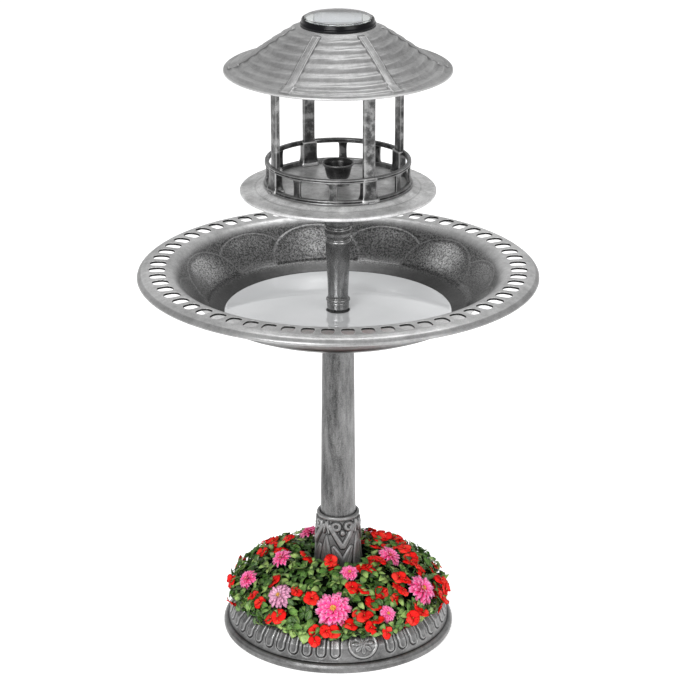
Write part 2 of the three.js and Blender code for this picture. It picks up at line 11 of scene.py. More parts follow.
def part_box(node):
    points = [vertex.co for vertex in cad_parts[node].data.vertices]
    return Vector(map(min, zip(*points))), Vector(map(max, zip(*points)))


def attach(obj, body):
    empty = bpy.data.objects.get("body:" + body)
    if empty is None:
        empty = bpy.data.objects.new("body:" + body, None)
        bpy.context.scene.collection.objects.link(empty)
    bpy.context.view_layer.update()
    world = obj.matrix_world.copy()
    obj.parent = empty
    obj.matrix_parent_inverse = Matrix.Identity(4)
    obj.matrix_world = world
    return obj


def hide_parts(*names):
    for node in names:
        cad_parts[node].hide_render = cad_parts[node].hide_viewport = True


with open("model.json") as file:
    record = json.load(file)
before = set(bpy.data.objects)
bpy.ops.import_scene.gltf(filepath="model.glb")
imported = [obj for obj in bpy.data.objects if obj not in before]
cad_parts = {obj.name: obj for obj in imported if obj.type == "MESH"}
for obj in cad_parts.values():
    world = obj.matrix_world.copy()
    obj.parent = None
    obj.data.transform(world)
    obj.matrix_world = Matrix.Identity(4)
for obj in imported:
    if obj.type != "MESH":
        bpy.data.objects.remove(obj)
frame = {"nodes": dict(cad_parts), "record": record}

# A garden bird bath with a planted base, a pierced bowl and a roofed feeder with a solar
# light. Shapes are in millimetres, azimuths in degrees from the front (-Y) towards +X.
MM = 0.001
scene = bpy.context.scene
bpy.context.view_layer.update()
rng = random.Random(7)


class Span:
    """The place of a CAD node that is turned about the column's axis, in millimetres."""

    def __init__(self, node):
        low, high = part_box(node)
        self.low = low.z / MM
        self.high = high.z / MM
        self.height = self.high - self.low
        self.radius = high.x / MM


base = Span("planter_base")
collar = Span("column_collar")
column = Span("column")
hub = Span("column_hub")
bowl = Span("bowl")
boss = Span("bowl_boss")
post = Span("upper_post")
band = Span("post_band")
cone = Span("tray_socket")
tray = Span("feeder_tray")
gallery = Span("gallery_rail")
cup = Span("seed_cup")
roof = Span("roof")
housing = Span("light_housing")
lens = Span("led_lens")
cover = Span("solar_cover")
planting = Span("flower_planting")


# ---------------------------------------------------------------- camera, light and floor

def add_object(name, data, place=(0, 0, 0)):
    obj = bpy.data.objects.new(name, data)
    obj.location = place
    scene.collection.objects.link(obj)
    return obj


CAMERA_PLACE = (0.00175, -3.007, 1.555)
CAMERA_PITCH = 21.12      # degrees below the horizon
FLOOR_REACH = 25


def make_camera():
    data = bpy.data.cameras.new("camera")
    data.lens = 136.1
    data.sensor_width = 36
    data.clip_end = 60
    scene.camera = add_object("camera", data, CAMERA_PLACE)
    scene.camera.rotation_euler = (math.radians(90 - CAMERA_PITCH), 0, 0)


def area_light(name, place, aim, size, power):
    data = bpy.data.lights.new(name, "AREA")
    data.shape = "RECTANGLE"
    data.size, data.size_y = size
    data.energy = power
    direction = Vector(aim) - Vector(place)
    add_object(name, data, place).rotation_euler = direction.to_track_quat("-Z", "Y").to_euler()


def make_studio():
    scene.view_settings.view_transform = "Standard"
    world = bpy.data.worlds.new("studio")
    scene.world = world
    world.use_nodes = True
    background = world.node_tree.nodes["Background"]
    background.inputs["Color"].default_value = (1, 1, 1, 1)
    background.inputs["Strength"].default_value = 0.45
    area_light("key", (-1.1, -2.5, 2.0), (0, 0, 0.45), (1.4, 1.4), 72)
    area_light("fill", (1.8, -2.2, 1.5), (0, 0, 0.4), (1.6, 1.6), 28)
    area_light("top", (0.2, 0.6, 2.8), (0, 0, 0.5), (1.6, 1.2), 27)
    area_light("back", (0, 3.2, 1.7), (0, 0, 0.5), (6, 1.6), 11)
    mesh = bpy.data.meshes.new("floor")
    corners = [(x * FLOOR_REACH, y * FLOOR_REACH, 0) for x, y in ((-1, -1), (1, -1), (1, 1), (-1, 1))]
    mesh.from_pydata(corners, [], [(0, 1, 2, 3)])
    floor = add_object("floor", mesh, (0, 0, -0.0005))
    material = bpy.data.materials.new("floor")
    material.use_nodes = True
    shader = material.node_tree.nodes["Principled BSDF"]
    shader.inputs["Base Color"].default_value = (0.86, 0.86, 0.86, 1)
    shader.inputs["Roughness"].default_value = 0.9
    shader.inputs["Emission Color"].default_value = (1, 1, 1, 1)
    shader.inputs["Emission Strength"].default_value = 0.55
    mesh.materials.append(material)


# ---------------------------------------------------------------- materials

LOOKS = {}


class Look:
    """A procedural material: each method adds a node and returns its output."""

    def __init__(self, name, **values):
        self.name = name
        self.material = bpy.data.materials.new(name)
        self.material.use_nodes = True
        self.nodes = self.material.node_tree.nodes
        self.links = self.material.node_tree.links
        self.shader = self.nodes["Principled BSDF"]
        self.place = self.nodes.new("ShaderNodeTexCoord").outputs["Object"]
        for socket, value in values.items():
            title = socket.replace("_", " ").title().replace("Ior", "IOR")
            if isinstance(value, tuple):
                value = (*value, 1)
            self.shader.inputs[title].default_value = value

    def join(self, value, socket):
        if hasattr(value, "is_output"):
            self.links.new(value, socket)
        else:
            socket.default_value = value

    def set(self, **sockets):
        for socket, value in sockets.items():
            self.join(value, self.shader.inputs[socket.replace("_", " ").title()])

    def node(self, kind, output, inputs=None, **settings):
        node = self.nodes.new("ShaderNode" + kind)
        for name, value in settings.items():
            setattr(node, name, value)
        for socket, value in (inputs or {}).items():
            self.join(value, node.inputs[socket])
        return node.outputs[output]

    def stretched(self, x, y, z):
        return self.node("Mapping", "Vector", {"Vector": self.place, "Scale": (x, y, z)})

    def noise(self, scale, detail=4, roughness=0.55, vector=None, distortion=0):
        return self.node("TexNoise", "Fac", {
            "Vector": vector or self.place, "Scale": scale, "Detail": detail, "Roughness": roughness,
            "Distortion": distortion})

    def attribute(self, name):
        return self.node("Attribute", "Fac", attribute_name=name)

    def edges(self):
        return self.node("NewGeometry", "Pointiness")

    def ramp(self, value, *stops):
        node = self.nodes.new("ShaderNodeValToRGB")
        self.links.new(value, node.inputs["Fac"])
        elements = node.color_ramp.elements
        while len(elements) < len(stops):
            elements.new(0.5)
        for element, (at, colour) in zip(elements, stops):
            element.position = at
            element.color = (*colour, 1) if isinstance(colour, tuple) else (colour,) * 3 + (1,)
        return node.outputs["Color"]

    def math(self, operation, first, second=0.0, clamp=False):
        return self.node("Math", 0, {0: first, 1: second}, operation=operation, use_clamp=clamp)

    def times(self, first, second, clamp=False):
        return self.math("MULTIPLY", first, second, clamp)

    def mix(self, factor, first, second):
        first, second = ((*value, 1) if isinstance(value, tuple) else value for value in (first, second))
        return self.node("Mix", 2, {0: factor, 6: first, 7: second}, data_type="RGBA")

    def bump(self, height, strength, distance):
        """The last node: the height makes the bump, and the finished material is kept."""
        self.set(normal=self.node("Bump", "Normal", {
            "Height": height, "Strength": strength, "Distance": distance * MM}))
        LOOKS[self.name] = self.material


def pewter(name, tone, contrast=0.5, worn=0.5, streak=1.0, metal=0.5, rough=0.36, blotch=0.0, wall=None):
    """Antique pewter on moulded plastic: fine dark mottling, pale worn edges and dark hollows. A mark on the
    mesh darkens patina in hollows and also paints shade, as on the bowl's slot walls, lip and underside. A
    wall tone adds the bowl's stippled wall, partly its own dark tone and partly painted shade, with petal
    centres lighter as a painted highlight."""
    look = Look(name)
    flow = look.stretched(1, 1, streak)
    broad = look.noise(13, 5, 0.6, flow, 0.5)
    fine = look.noise(110, 8, 0.75, flow)
    grain = look.noise(1000, 2, 0.6)
    blend = look.math("ADD", look.times(broad, 0.42), look.times(fine, 0.38))
    blend = look.math("ADD", blend, look.times(grain, 0.2))
    dark, light = tone * (1 - contrast), tone * (1 + contrast)
    colour = look.ramp(blend, (0.40, dark), (0.5, tone), (0.60, light))
    if blotch:
        spots = look.noise(75, 4, 0.65)
        patches = look.ramp(spots, (0.40, tone * 0.1), (0.5, tone), (0.61, min(tone * 4, 0.8)))
        colour = look.mix(blotch, colour, patches)
    height = look.math("ADD", fine, look.times(grain, 0.6))
    rubbed = look.times(look.ramp(look.edges(), (0.505, 0.0), (0.545, 1.0)), worn)
    colour = look.mix(rubbed, colour, (min(max(tone * 2.2, 0.42), 0.85),) * 3)
    # Dark hollows: pointiness darkens the patina in cavities, and the mesh's mark adds more patina and
    # painted shade, such as the bowl's shaded slots and underside; those places also turn fully metallic, so
    # they go near black.
    pits_and_shade = look.times(look.ramp(look.edges(), (0.44, 1.0), (0.495, 0.0)), 0.85)
    pits_and_shade = look.math("MAXIMUM", pits_and_shade, look.attribute("patina_and_shade"))
    colour = look.mix(pits_and_shade, colour, (min(tone * 0.06, 0.012),) * 3)
    # The bowl's stippled wall is far darker than the rim: partly the stipple's own tone and partly painted
    # shade inside the bowl.
    if wall:
        dots = look.noise(460, 4, 0.8)
        speck = look.ramp(dots, (0.44, wall * 0.5), (0.58, wall * 2.8))
        # Lighter stipple at the petals' centres: a painted highlight.
        cloud = look.times(look.ramp(broad, (0.40, 0.4), (0.58, 1.0)), look.attribute("petal_highlight"))
        speck = look.mix(cloud, speck, look.ramp(dots, (0.42, wall * 2.0), (0.58, wall * 12)))
        speck = look.mix(look.attribute("outline"), speck, (wall * 7,) * 3)
        mask = look.attribute("wall")
        colour = look.mix(mask, colour, speck)
        height = look.math("ADD", height, look.times(look.times(dots, mask), 1.6))
    look.set(base_color=colour, metallic=look.math("MAXIMUM", pits_and_shade, metal))
    look.set(roughness=look.ramp(blend, (0.3, rough * 1.35), (0.7, rough * 0.8)))
    look.bump(height, 0.3, 0.5)


def blade_look(name, dark, middle, light, tip=None, root=None, roughness=0.5, veins=0.0, **values):
    """A leaf or petal: each blade has its own tone, with fine veins and a shaded root."""
    look = Look(name, **values)
    colour = look.ramp(look.attribute("tone"), (0.0, dark), (0.5, middle), (1.0, light))
    along, across = look.attribute("along"), look.attribute("across")
    if tip:
        end, side = look.ramp(along, (0.72, 0.0), (1.0, 0.75)), look.ramp(across, (0.62, 0.0), (1.0, 0.6))
        colour = look.mix(look.math("MAXIMUM", end, side), colour, tip)
    if root:
        colour = look.mix(look.ramp(along, (0.1, 0.95), (0.55, 0.0)), colour, root)
    slant = look.times(look.math("SUBTRACT", along, look.times(across, 0.25)), 46)
    wave = look.math("SINE", slant)
    rib = look.ramp(across, (0.0, 1.0), (0.16, 0.0))
    pattern = look.math("ADD", look.times(wave, 0.5), rib)
    if veins:
        colour = look.mix(look.times(pattern, veins, clamp=True), colour, light)
    cloud = look.noise(150, 4)
    colour = look.mix(look.ramp(cloud, (0.35, 0.3), (0.65, 0.0)), colour, dark)
    look.set(base_color=colour, roughness=look.ramp(cloud, (0.3, roughness * 1.2), (0.7, roughness * 0.85)))
    look.bump(look.math("ADD", pattern, cloud), 0.3, 0.4)


def plastic(name, colour, roughness=0.4, grain=300, strength=0.1, variation=0.25, **values):
    look = Look(name, **values)
    speckle = look.noise(grain, 3)
    cloud = look.noise(20, 4)
    shade = tuple(part * (1 - variation) for part in colour)
    look.set(base_color=look.ramp(cloud, (0.35, shade), (0.65, colour)))
    look.set(roughness=look.ramp(speckle, (0.3, roughness * 0.85), (0.7, min(roughness * 1.2, 1.0))))
    look.bump(speckle, strength, 0.3)


def make_materials():
    # The bowl's wall tone, far below its rim's, is partly painted shade.
    pewter("pewter_bowl", 0.38, 0.34, 0.5, rough=0.3, wall=0.058)
    pewter("pewter", 0.22, 0.5, 0.5)
    pewter("pewter_column", 0.165, 0.8, 0.6, streak=0.2, metal=0.7)
    pewter("pewter_post", 0.19, 1.0, 0.9, streak=0.35, metal=0.8, rough=0.24)
    pewter("pewter_roof", 0.24, 0.3, 0.7)
    pewter("pewter_tray", 0.54, 0.4, 0.4)
    pewter("pewter_base", 0.165, 0.5, 0.8, metal=0.7, rough=0.34)
    pewter("pewter_collar", 0.21, 0.5, 0.35, metal=0.7, rough=0.4)
    pewter("pewter_bars", 0.085, 0.95, 0.9, streak=0.3, metal=0.85, rough=0.28, blotch=0.6)
    pewter("dark_pewter", 0.05, 0.95, 1.0, metal=0.9, rough=0.3, blotch=0.6)
    pewter("cup_pewter", 0.015, 0.6, 0.6, rough=0.25)
    # The planting's core is a near-black mound under the leaves: its colour is painted shade, standing in for
    # the dark depths among the leaves.
    blade_look("painted_shade_foliage", (0.002, 0.006, 0.002), (0.004, 0.012, 0.003), (0.006, 0.02, 0.004),
               roughness=0.9, specular_ior_level=0.1)
    blade_look("leaf", (0.012, 0.044, 0.005), (0.07, 0.21, 0.02), (0.42, 0.60, 0.17),
               root=(0.02, 0.07, 0.012), roughness=0.38, veins=0.3)
    plastic("stalk", (0.06, 0.2, 0.04), 0.6, 200, 0.3, 0.4)
    blade_look("pink_petal", (1.0, 0.02, 0.25), (1.0, 0.12, 0.40), (1.0, 0.32, 0.61),
               tip=(1.0, 0.62, 0.84), root=(0.80, 0.003, 0.09), veins=0.12, specular_ior_level=0.2)
    blade_look("pale_petal", (0.62, 0.26, 0.44), (0.78, 0.42, 0.58), (0.88, 0.60, 0.72),
               tip=(1.0, 0.42, 0.64), root=(0.50, 0.38, 0.42), veins=0.12, specular_ior_level=0.2)
    blade_look("red_petal", (0.78, 0.004, 0.004), (0.90, 0.014, 0.009), (0.96, 0.06, 0.04),
               root=(0.46, 0.0, 0.002), roughness=0.6, veins=0.08, specular_ior_level=0.15)
    blade_look("flower_heart", (0.90, 0.22, 0.04), (1.0, 0.50, 0.06), (1.0, 0.80, 0.22),
               specular_ior_level=0.2)
    plastic("gloss_black", (0.003, 0.003, 0.004), 0.22, 500, 0.02, 0.2, specular_ior_level=0.18)
    plastic("black_plastic", (0.03, 0.03, 0.032), 0.5, 400, 0.2)
    plastic("rubber", (0.03, 0.03, 0.03), 0.8, 500, 0.3)
    plastic("white_plastic", (0.85, 0.85, 0.82), 0.35, 400, 0.05, 0.05)
    plastic("steel", (0.6, 0.6, 0.6), 0.3, 700, 0.1, 0.2, metallic=1.0)
    plastic("brass", (0.7, 0.48, 0.2), 0.3, 700, 0.1, 0.2, metallic=1.0)
    plastic("board", (0.03, 0.16, 0.06), 0.45, 300, 0.2)
    plastic("battery_wrap", (0.08, 0.25, 0.4), 0.25, 400, 0.05)
    plastic("soil", (0.07, 0.045, 0.03), 0.95, 160, 1.0, 0.6)
    plastic("cover_glass", (0.95, 0.97, 0.98), 0.04, 60, 0.01, 0.02, transmission_weight=1.0, ior=1.45)
    plastic("led_epoxy", (1.0, 0.97, 0.9), 0.2, 300, 0.02, 0.02,
            emission_color=(1.0, 0.96, 0.88), emission_strength=4.0)
    plastic("frosted_lens", (0.97, 0.97, 0.95), 0.5, 300, 0.05, 0.03,
            emission_color=(1.0, 0.98, 0.94), emission_strength=2.2)
    # The cell's pale grey colour is a painted reflection of the bright surroundings in its glass.
    cell = Look("solar_cell", roughness=0.18, coat_weight=1.0)
    cell.set(base_color=cell.ramp(cell.noise(30, 3), (0.35, (0.74, 0.76, 0.79)), (0.65, (0.86, 0.88, 0.90))))
    cell.bump(cell.noise(200, 2), 0.02, 0.2)
    # The water's pale grey base colour, with some metallic, is a painted reflection of the bright
    # surroundings.
    water = Look("water", ior=1.33, metallic=0.3)
    tone = water.noise(9, 3, 0.5)
    water.set(base_color=water.ramp(tone, (0.3, (0.66, 0.67, 0.68)), (0.7, (0.76, 0.77, 0.78))),
              roughness=water.ramp(tone, (0.3, 0.02), (0.7, 0.05)))
    water.bump(water.noise(30, 2), 0.03, 1.0)


# ---------------------------------------------------------------- mesh helpers

def linked(name, verts, faces):
    """A smooth mesh object from points in millimetres."""
    mesh = bpy.data.meshes.new(name)
    faces = faces if isinstance(faces, list) else np.asarray(faces).tolist()
    mesh.from_pydata((np.asarray(verts, float) * MM).tolist(), [], faces)
    mesh.polygons.foreach_set("use_smooth", [True] * len(mesh.polygons))
    return add_object(name, mesh)


def tidy_mesh(obj, merge=0.0):
    """Joins doubled points and turns every face outwards."""
    mesh = bmesh.new()
    mesh.from_mesh(obj.data)
    if merge:
        bmesh.ops.remove_doubles(mesh, verts=mesh.verts, dist=merge * MM)
        bmesh.ops.dissolve_degenerate(mesh, edges=mesh.edges, dist=1e-7)
    bmesh.ops.recalc_face_normals(mesh, faces=mesh.faces)
    mesh.to_mesh(obj.data)
    mesh.free()
    return obj


def grid_faces(rows, columns, wrap_rows=False, wrap_columns=False):
    index = np.arange(rows * columns).reshape(rows, columns)
    if wrap_rows:
        index = np.vstack([index, index[:1]])
    if wrap_columns:
        index = np.hstack([index, index[:, :1]])
    corners = [index[:-1, :-1], index[:-1, 1:], index[1:, 1:], index[1:, :-1]]
    return np.stack(corners, -1).reshape(-1, 4)


def rounded(outline, radius, closed=True, steps=4):
    """The outline with its corners rounded, as far as its sides allow."""
    points = [np.array(point, float) for point in outline]
    result = []
    for i, point in enumerate(points):
        before, after = points[i - 1], points[(i + 1) % len(points)]
        if not closed and i in (0, len(points) - 1):
            result.append(point)
            continue
        reach_in, reach_out = before - point, after - point
        size_in, size_out = np.linalg.norm(reach_in), np.linalg.norm(reach_out)
        start = point + reach_in / size_in * min(radius, size_in * 0.45)
        end = point + reach_out / size_out * min(radius, size_out * 0.45)
        for k in range(steps + 1):
            t = k / steps
            result.append((1 - t) ** 2 * start + 2 * t * (1 - t) * point + t * t * end)
    return np.array(result)


def dense(points, step, closed=True):
    """The outline with its long sides divided."""
    points = np.asarray(points, float)
    ends = np.roll(points, -1, 0) if closed else points[1:]
    result = []
    for start, end in zip(points, ends):
        count = max(1, math.ceil(np.linalg.norm(end - start) / step))
        result.extend(start + (end - start) * k / count for k in range(count))
    if not closed:
        result.append(points[-1])
    return np.array(result)


def curve_through(points, count):
    """A smooth open curve through a few points (Catmull-Rom)."""
    points = np.asarray(points, float)
    padded = np.vstack([2 * points[0] - points[1], points, 2 * points[-1] - points[-2]])
    result = []
    for value in np.linspace(0, len(points) - 1, count):
        i = min(int(value), len(points) - 2)
        t = value - i
        p0, p1, p2, p3 = padded[i:i + 4]
        result.append(0.5 * (2 * p1 + (p2 - p0) * t + (2 * p0 - 5 * p1 + 4 * p2 - p3) * t * t
                             + (3 * p1 - p0 - 3 * p2 + p3) * t ** 3))
    return np.array(result)


def revolve(name, outline, sides=96, relief=None, closed=True):
    """A turned body. relief(radius, height, azimuth in degrees) gives how far the surface is
    lifted outwards, in millimetres, and how dark it is made, from 0 to 1: patina in its hollows and
    painted shade. The outline runs anticlockwise, radius first."""
    outline = np.asarray(outline, float)
    azimuth = np.arange(sides) * 360 / sides
    radius = np.repeat(outline[:, :1], sides, 1)
    height = np.repeat(outline[:, 1:], sides, 1)
    if relief:
        if closed:
            along = np.roll(outline, -1, 0) - np.roll(outline, 1, 0)
        else:
            along = np.gradient(outline, axis=0)
        along /= np.maximum(np.linalg.norm(along, axis=1, keepdims=True), 1e-9)
        lift, patina_and_shade = relief(radius, height, np.repeat(azimuth[None], len(outline), 0))
        radius = radius + along[:, 1:] * lift
        height = height - along[:, :1] * lift
    turn = np.radians(azimuth)
    verts = np.stack([radius * np.sin(turn), -radius * np.cos(turn), height], -1).reshape(-1, 3)
    obj = linked(name, verts, grid_faces(len(outline), sides, closed, True))
    if relief:
        mark(obj, "patina_and_shade", np.broadcast_to(patina_and_shade, radius.shape))
    return tidy_mesh(obj, 0.0 if outline[:, 0].min() > 0.01 else 0.001)


def mark(obj, name, values):
    """Gives each point of a mesh a number that its material reads."""
    attributes = obj.data.attributes
    attribute = attributes.get(name) or attributes.new(name, "FLOAT", "POINT")
    attribute.data.foreach_set("value", np.asarray(values, np.float32).ravel())


def finish_piece(obj, body, slot, look, *nodes):
    """Gives a piece its material and its body and hides the CAD nodes it stands for; its slot is not used."""
    obj.data.materials.clear()
    obj.data.materials.append(LOOKS[look])
    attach(obj, body)
    if nodes:
        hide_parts(*nodes)


def turned(name, foot, points, body, slot, look, *nodes,
           corner=1.0, step=0.0, sides=96, relief=None, closed=True):
    """A finished turned piece, from the corners of its outline: radii, and heights above a foot."""
    outline = rounded([(radius, foot + height) for radius, height in points], corner, closed)
    if step:
        outline = dense(outline, step, closed)
    finish_piece(revolve(name, outline, sides, relief, closed), body, slot, look, *nodes)


def ridge(distance, width):
    """A smooth line of height 1, which fades within its width."""
    return np.exp(-(distance / width) ** 2)


def smooth_step(low, high, value):
    t = np.clip((value - low) / (high - low), 0, 1)
    return t * t * (3 - 2 * t)


def off_axis(azimuth, start, count):
    """Degrees from the nearest of count equally spaced azimuths."""
    pitch = 360 / count
    return (azimuth - start + pitch / 2) % pitch - pitch / 2


def block(name, size, place, bevel, azimuth=0.0):
    """A bevelled bar, its size along the tangent, the radius and Z, turned to an azimuth."""
    mesh = bmesh.new()
    bmesh.ops.create_cube(mesh, size=1)
    for vert in mesh.verts:
        vert.co = Vector(part * share for part, share in zip(vert.co, size))
    bmesh.ops.bevel(mesh, geom=mesh.edges[:], offset=bevel, segments=3, profile=0.5, affect="EDGES")
    turn = Matrix.Rotation(math.radians(azimuth), 4, "Z")
    mesh.transform(turn @ Matrix.Translation(Vector(place)))
    mesh.transform(Matrix.Scale(MM, 4))
    data = bpy.data.meshes.new(name)
    mesh.to_mesh(data)
    mesh.free()
    return add_object(name, data)


def rounded_ends(levels, radius):
    """The levels with a small chamfer added at the foot and at the top."""
    (w0, d0, z0), (w1, d1, z1) = levels[0], levels[-1]
    return [(w0 - radius, d0 - radius, z0), (w0, d0, z0 + radius), *levels[1:-1],
            (w1, d1, z1 - radius), (w1 - radius, d1 - radius, z1)]


# ---------------------------------------------------------------- roof

BATTENS = 6
BATTEN_START = 32
BATTEN_HALF = 5.0
BATTEN_LIFT = 2.1
PLATE_HALF = 7.6          # the square plate at a batten's foot
PLATE_RADII = (119.5, 133.0)
COURSE_START = 52
COURSE_PITCH = 11.5
COURSE_LIFT = 1.3
ROOF_THICKNESS = 3.0
POST_AZIMUTHS = (26, 116, -154, -64)
POST_CIRCLE = 84          # radius of the circle of posts


def roof_relief(radius, height, azimuth):
    """Lapped courses between raised battens, each batten ending in a square plate."""
    outside = smooth_step(46, 48, radius) * (height > roof_height(radius) - 1.5)
    off = off_axis(azimuth, BATTEN_START, BATTENS)
    across = np.abs(radius * np.sin(np.radians(off)))
    batten = smooth_step(BATTEN_HALF + 0.7, BATTEN_HALF - 0.3, across)
    inner_line = 0.5 * ridge(across - BATTEN_HALF + 1.6, 0.5)
    inner, outer = PLATE_RADII
    plate = smooth_step(PLATE_HALF + 0.4, PLATE_HALF - 0.4, across)
    plate *= smooth_step(inner - 0.5, inner + 0.5, radius) * smooth_step(outer + 0.5, outer - 0.5, radius)
    course = (radius - COURSE_START) / COURSE_PITCH
    share = course - np.floor(course)
    lap = 0.5 - 0.5 * np.cos(math.tau * share ** 1.25)
    below_seat = smooth_step(50, 54, radius)
    field = below_seat * smooth_step(136, 131, radius)
    wave = 1 + 0.25 * np.sin(np.radians(azimuth * 5)) + 0.15 * np.sin(np.radians(azimuth * 13) + radius)
    courses = COURSE_LIFT * lap * wave * field * (1 - batten)
    ribs = (BATTEN_LIFT - inner_line) * batten * below_seat * smooth_step(126, 124, radius)
    edge_line = ridge(across - BATTEN_HALF - 0.6, 0.8) * below_seat * (radius < outer)
    lap_line = 0.22 * ridge(share - 0.02, 0.07) * field * (across > BATTEN_HALF + 1)
    patina_and_shade = outside * np.maximum(0.5 * edge_line, lap_line)
    return outside * np.maximum(courses + ribs, (BATTEN_LIFT + 0.1) * plate), patina_and_shade


def roof_height(radius):
    return np.interp(radius, *ROOF_OUTSIDE.T)


ROOF_OUTSIDE = curve_through([
    (46.6, roof.high), (60, 790.0), (75, 780.4), (88, 771.4), (100, 762.6), (111, 755.2),
    (121, 749.6), (130, 746.4), (roof.radius - 0.6, roof.high - 53.0),
], 130)


def make_roof():
    edge, low = roof.radius, roof.low
    inside = [point for point in ROOF_OUTSIDE[::5] - (0.4, ROOF_THICKNESS) if point[0] < edge - 2]
    seat = [(40.6, inside[0][1]), (40.6, roof.high), (46.0, roof.high)]
    rim = [(edge - 1.6, low + 0.1), (edge, low + 0.9), (edge, low + 2.4)]
    outline = [*seat[:1], *inside, *rim, *ROOF_OUTSIDE[::-1], *seat[:0:-1]]
    shell = revolve("roof_shell", outline, 720, roof_relief)
    finish_piece(shell, "feeder_tier", "pewter", "pewter_roof", "roof")
    for i in range(0, BATTENS, 2):
        azimuth = BATTEN_START + i * 360 / BATTENS
        pin = revolve(f"batten_pin_{i // 2 + 1}", [(0, 0), (1.7, 0), (1.5, 0.7), (0, 1.0)], 20, closed=False)
        turn = Matrix.Rotation(math.radians(azimuth), 4, "Z")
        pin.data.transform(turn @ Matrix.Translation(Vector((2.5, -127, 748.6)) * MM))
        finish_piece(pin, "feeder_tier", "dark_pewter", "cup_pewter")
    sleeve_levels = rounded_ends([(9.6, 5.4, 152.7), (9.6, 5.4, 168.7)], 0.8)
    bar_levels = rounded_ends([(7.5, 3.3, 4.4), (7.5, 3.3, 164.6)], 0.5)
    for i, azimuth in enumerate(POST_AZIMUTHS):
        sleeve = sectioned(f"roof_sleeve_{i + 1}", sleeve_levels, azimuth, POST_CIRCLE)
        finish_piece(sleeve, "feeder_tier", "pewter", "pewter_roof")
        bar = sectioned(f"roof_bar_{i + 1}", bar_levels, azimuth, POST_CIRCLE, 0.5)
        finish_piece(bar, "feeder_tier", "dark_pewter", "pewter_bars", f"roof_post_{i + 1}")


# ---------------------------------------------------------------- solar light

CELL_SIZE = 56
BUSBARS = 3
FINGERS = 18


def make_light():
    turned("light_ring", housing.low, [
        (37.5, 0), (39.5, 0), (39.5, 30.3), (45.9, 30.3), (45.9, 33), (44.6, 34.7), (43.9, 38.2),
        (42.6, 39), (41.5, 38.8), (41.4, 33), (37.5, 33),
    ], "solar_light", "gloss_black", "gloss_black", "light_housing", corner=0.6, sides=128)
    turned("light_cover", cover.low, [
        (0, 4.7), (39.4, 4.7), (39.4, 0.1), (41.1, 0.1), (41.1, 5), (40.2, cover.height), (0, cover.height),
    ], "solar_light", "clear_plastic", "cover_glass", "solar_cover", corner=0.5, sides=128, closed=False)
    top = cover.low + 4.1
    for i in range(BUSBARS):
        bar = block(f"cell_busbar_{i + 1}", (0.9, CELL_SIZE, 0.2), (18 * (i - 1), 0, top + 0.02), 0.06)
        finish_piece(bar, "solar_light", "steel", "steel")
    for i in range(FINGERS):
        y = -26.5 + i * 53 / (FINGERS - 1)
        finger = block(f"cell_finger_{i + 1}", (CELL_SIZE, 0.25, 0.12), (0, y, top - 0.04), 0.04)
        finish_piece(finger, "solar_light", "steel", "steel")
    for i in range(4):
        for name, length, out, azimuth in (("edge", 40, 29.0, 90 * i), ("corner", 15, 34.0, 90 * i + 45)):
            line = block(f"cell_{name}_{i + 1}", (length, 1.2, 0.3), (0, -out, top), 0.1, azimuth)
            finish_piece(line, "solar_light", "black_plastic", "black_plastic")
    turned("lamp_globe", lens.low, [
        (0, 0), (6, 1.2), (11, 5), (14, 13), (15, 26), (15, lens.height), (12.4, lens.height), (12.4, 25),
        (11.6, 15), (8.6, 7.6), (0, 3.4),
    ], "solar_light", "frosted_lens", "frosted_lens", "led_lens", corner=3, sides=64, closed=False)


# ---------------------------------------------------------------- gallery, tray and cup

def tray_relief(radius, height, azimuth):
    top = smooth_step(590, 592, height)
    rings = 0.35 * ridge(radius - 104.5, 1.2) - 0.35 * ridge(radius - 101.8, 1.0)
    return top * (rings + 0.12 * np.sin(np.radians(azimuth * 3) + radius / 9)), 0.0


def make_tray():
    edge, top = tray.radius, tray.height
    turned("tray_dish", tray.low, [
        (3.4, 0), (31, 0), (38, 7.6), (80, 9.2), (112, 5.1), (119, 3.9), (edge, 5.1), (edge, 7.9),
        (118.8, 9.4), (110, 9.8), (99.5, 11.3), (98.2, 12.5), (95.6, 13.9), (93.5, top), (14.4, top),
        (14, 10.7), (3.4, 10.7),
    ], "feeder_tier", "pewter", "pewter_tray", "feeder_tray", corner=2.0, step=1.6, sides=256,
        relief=tray_relief)
    turned("seed_cup_body", cup.low, [
        (0, 0), (11.4, 0), (11.6, 2.1), (9.8, 4.1), (10.2, 6.3), (13.4, 7.7), (15.2, 13.7), (17, 21.7),
        (19.4, 24.7), (20, 25.9), (19.6, 27), (18.4, 26.9), (15.9, 23.1), (14, 14.3), (12.4, 10.3), (0, 9.1),
    ], "seed_cup", "dark_pewter", "cup_pewter", "seed_cup", corner=1.2, sides=80, closed=False)


def sectioned(name, levels, azimuth, place, corner=0.3):
    """A bar of rounded rectangular sections, each a half width, a half depth and a height
    above the gallery's foot, standing at a radius and an azimuth."""
    section = dense(rounded([(1, 1), (-1, 1), (-1, -1), (1, -1)], corner), 0.16)
    rows = [np.array(levels[:1], float)]
    for start, end in zip(levels, levels[1:]):
        steps = max(1, round(math.dist(start, end) / 1.5))
        rows.append(np.linspace(start, end, steps + 1)[1:])
    rows = np.concatenate(rows)
    points = len(section)
    verts = np.empty((len(rows), points, 3))
    verts[:, :, :2] = section[None] * rows[:, None, :2] - (0, place)
    verts[:, :, 2] = rows[:, 2:] + gallery.low
    verts = verts.reshape(-1, 3)
    faces = grid_faces(len(rows), points, False, True).tolist()
    faces += [list(range(points)), list(range(len(verts) - points, len(verts)))]
    obj = linked(name, verts, faces)
    obj.data.transform(Matrix.Rotation(math.radians(azimuth), 4, "Z"))
    return tidy_mesh(obj)


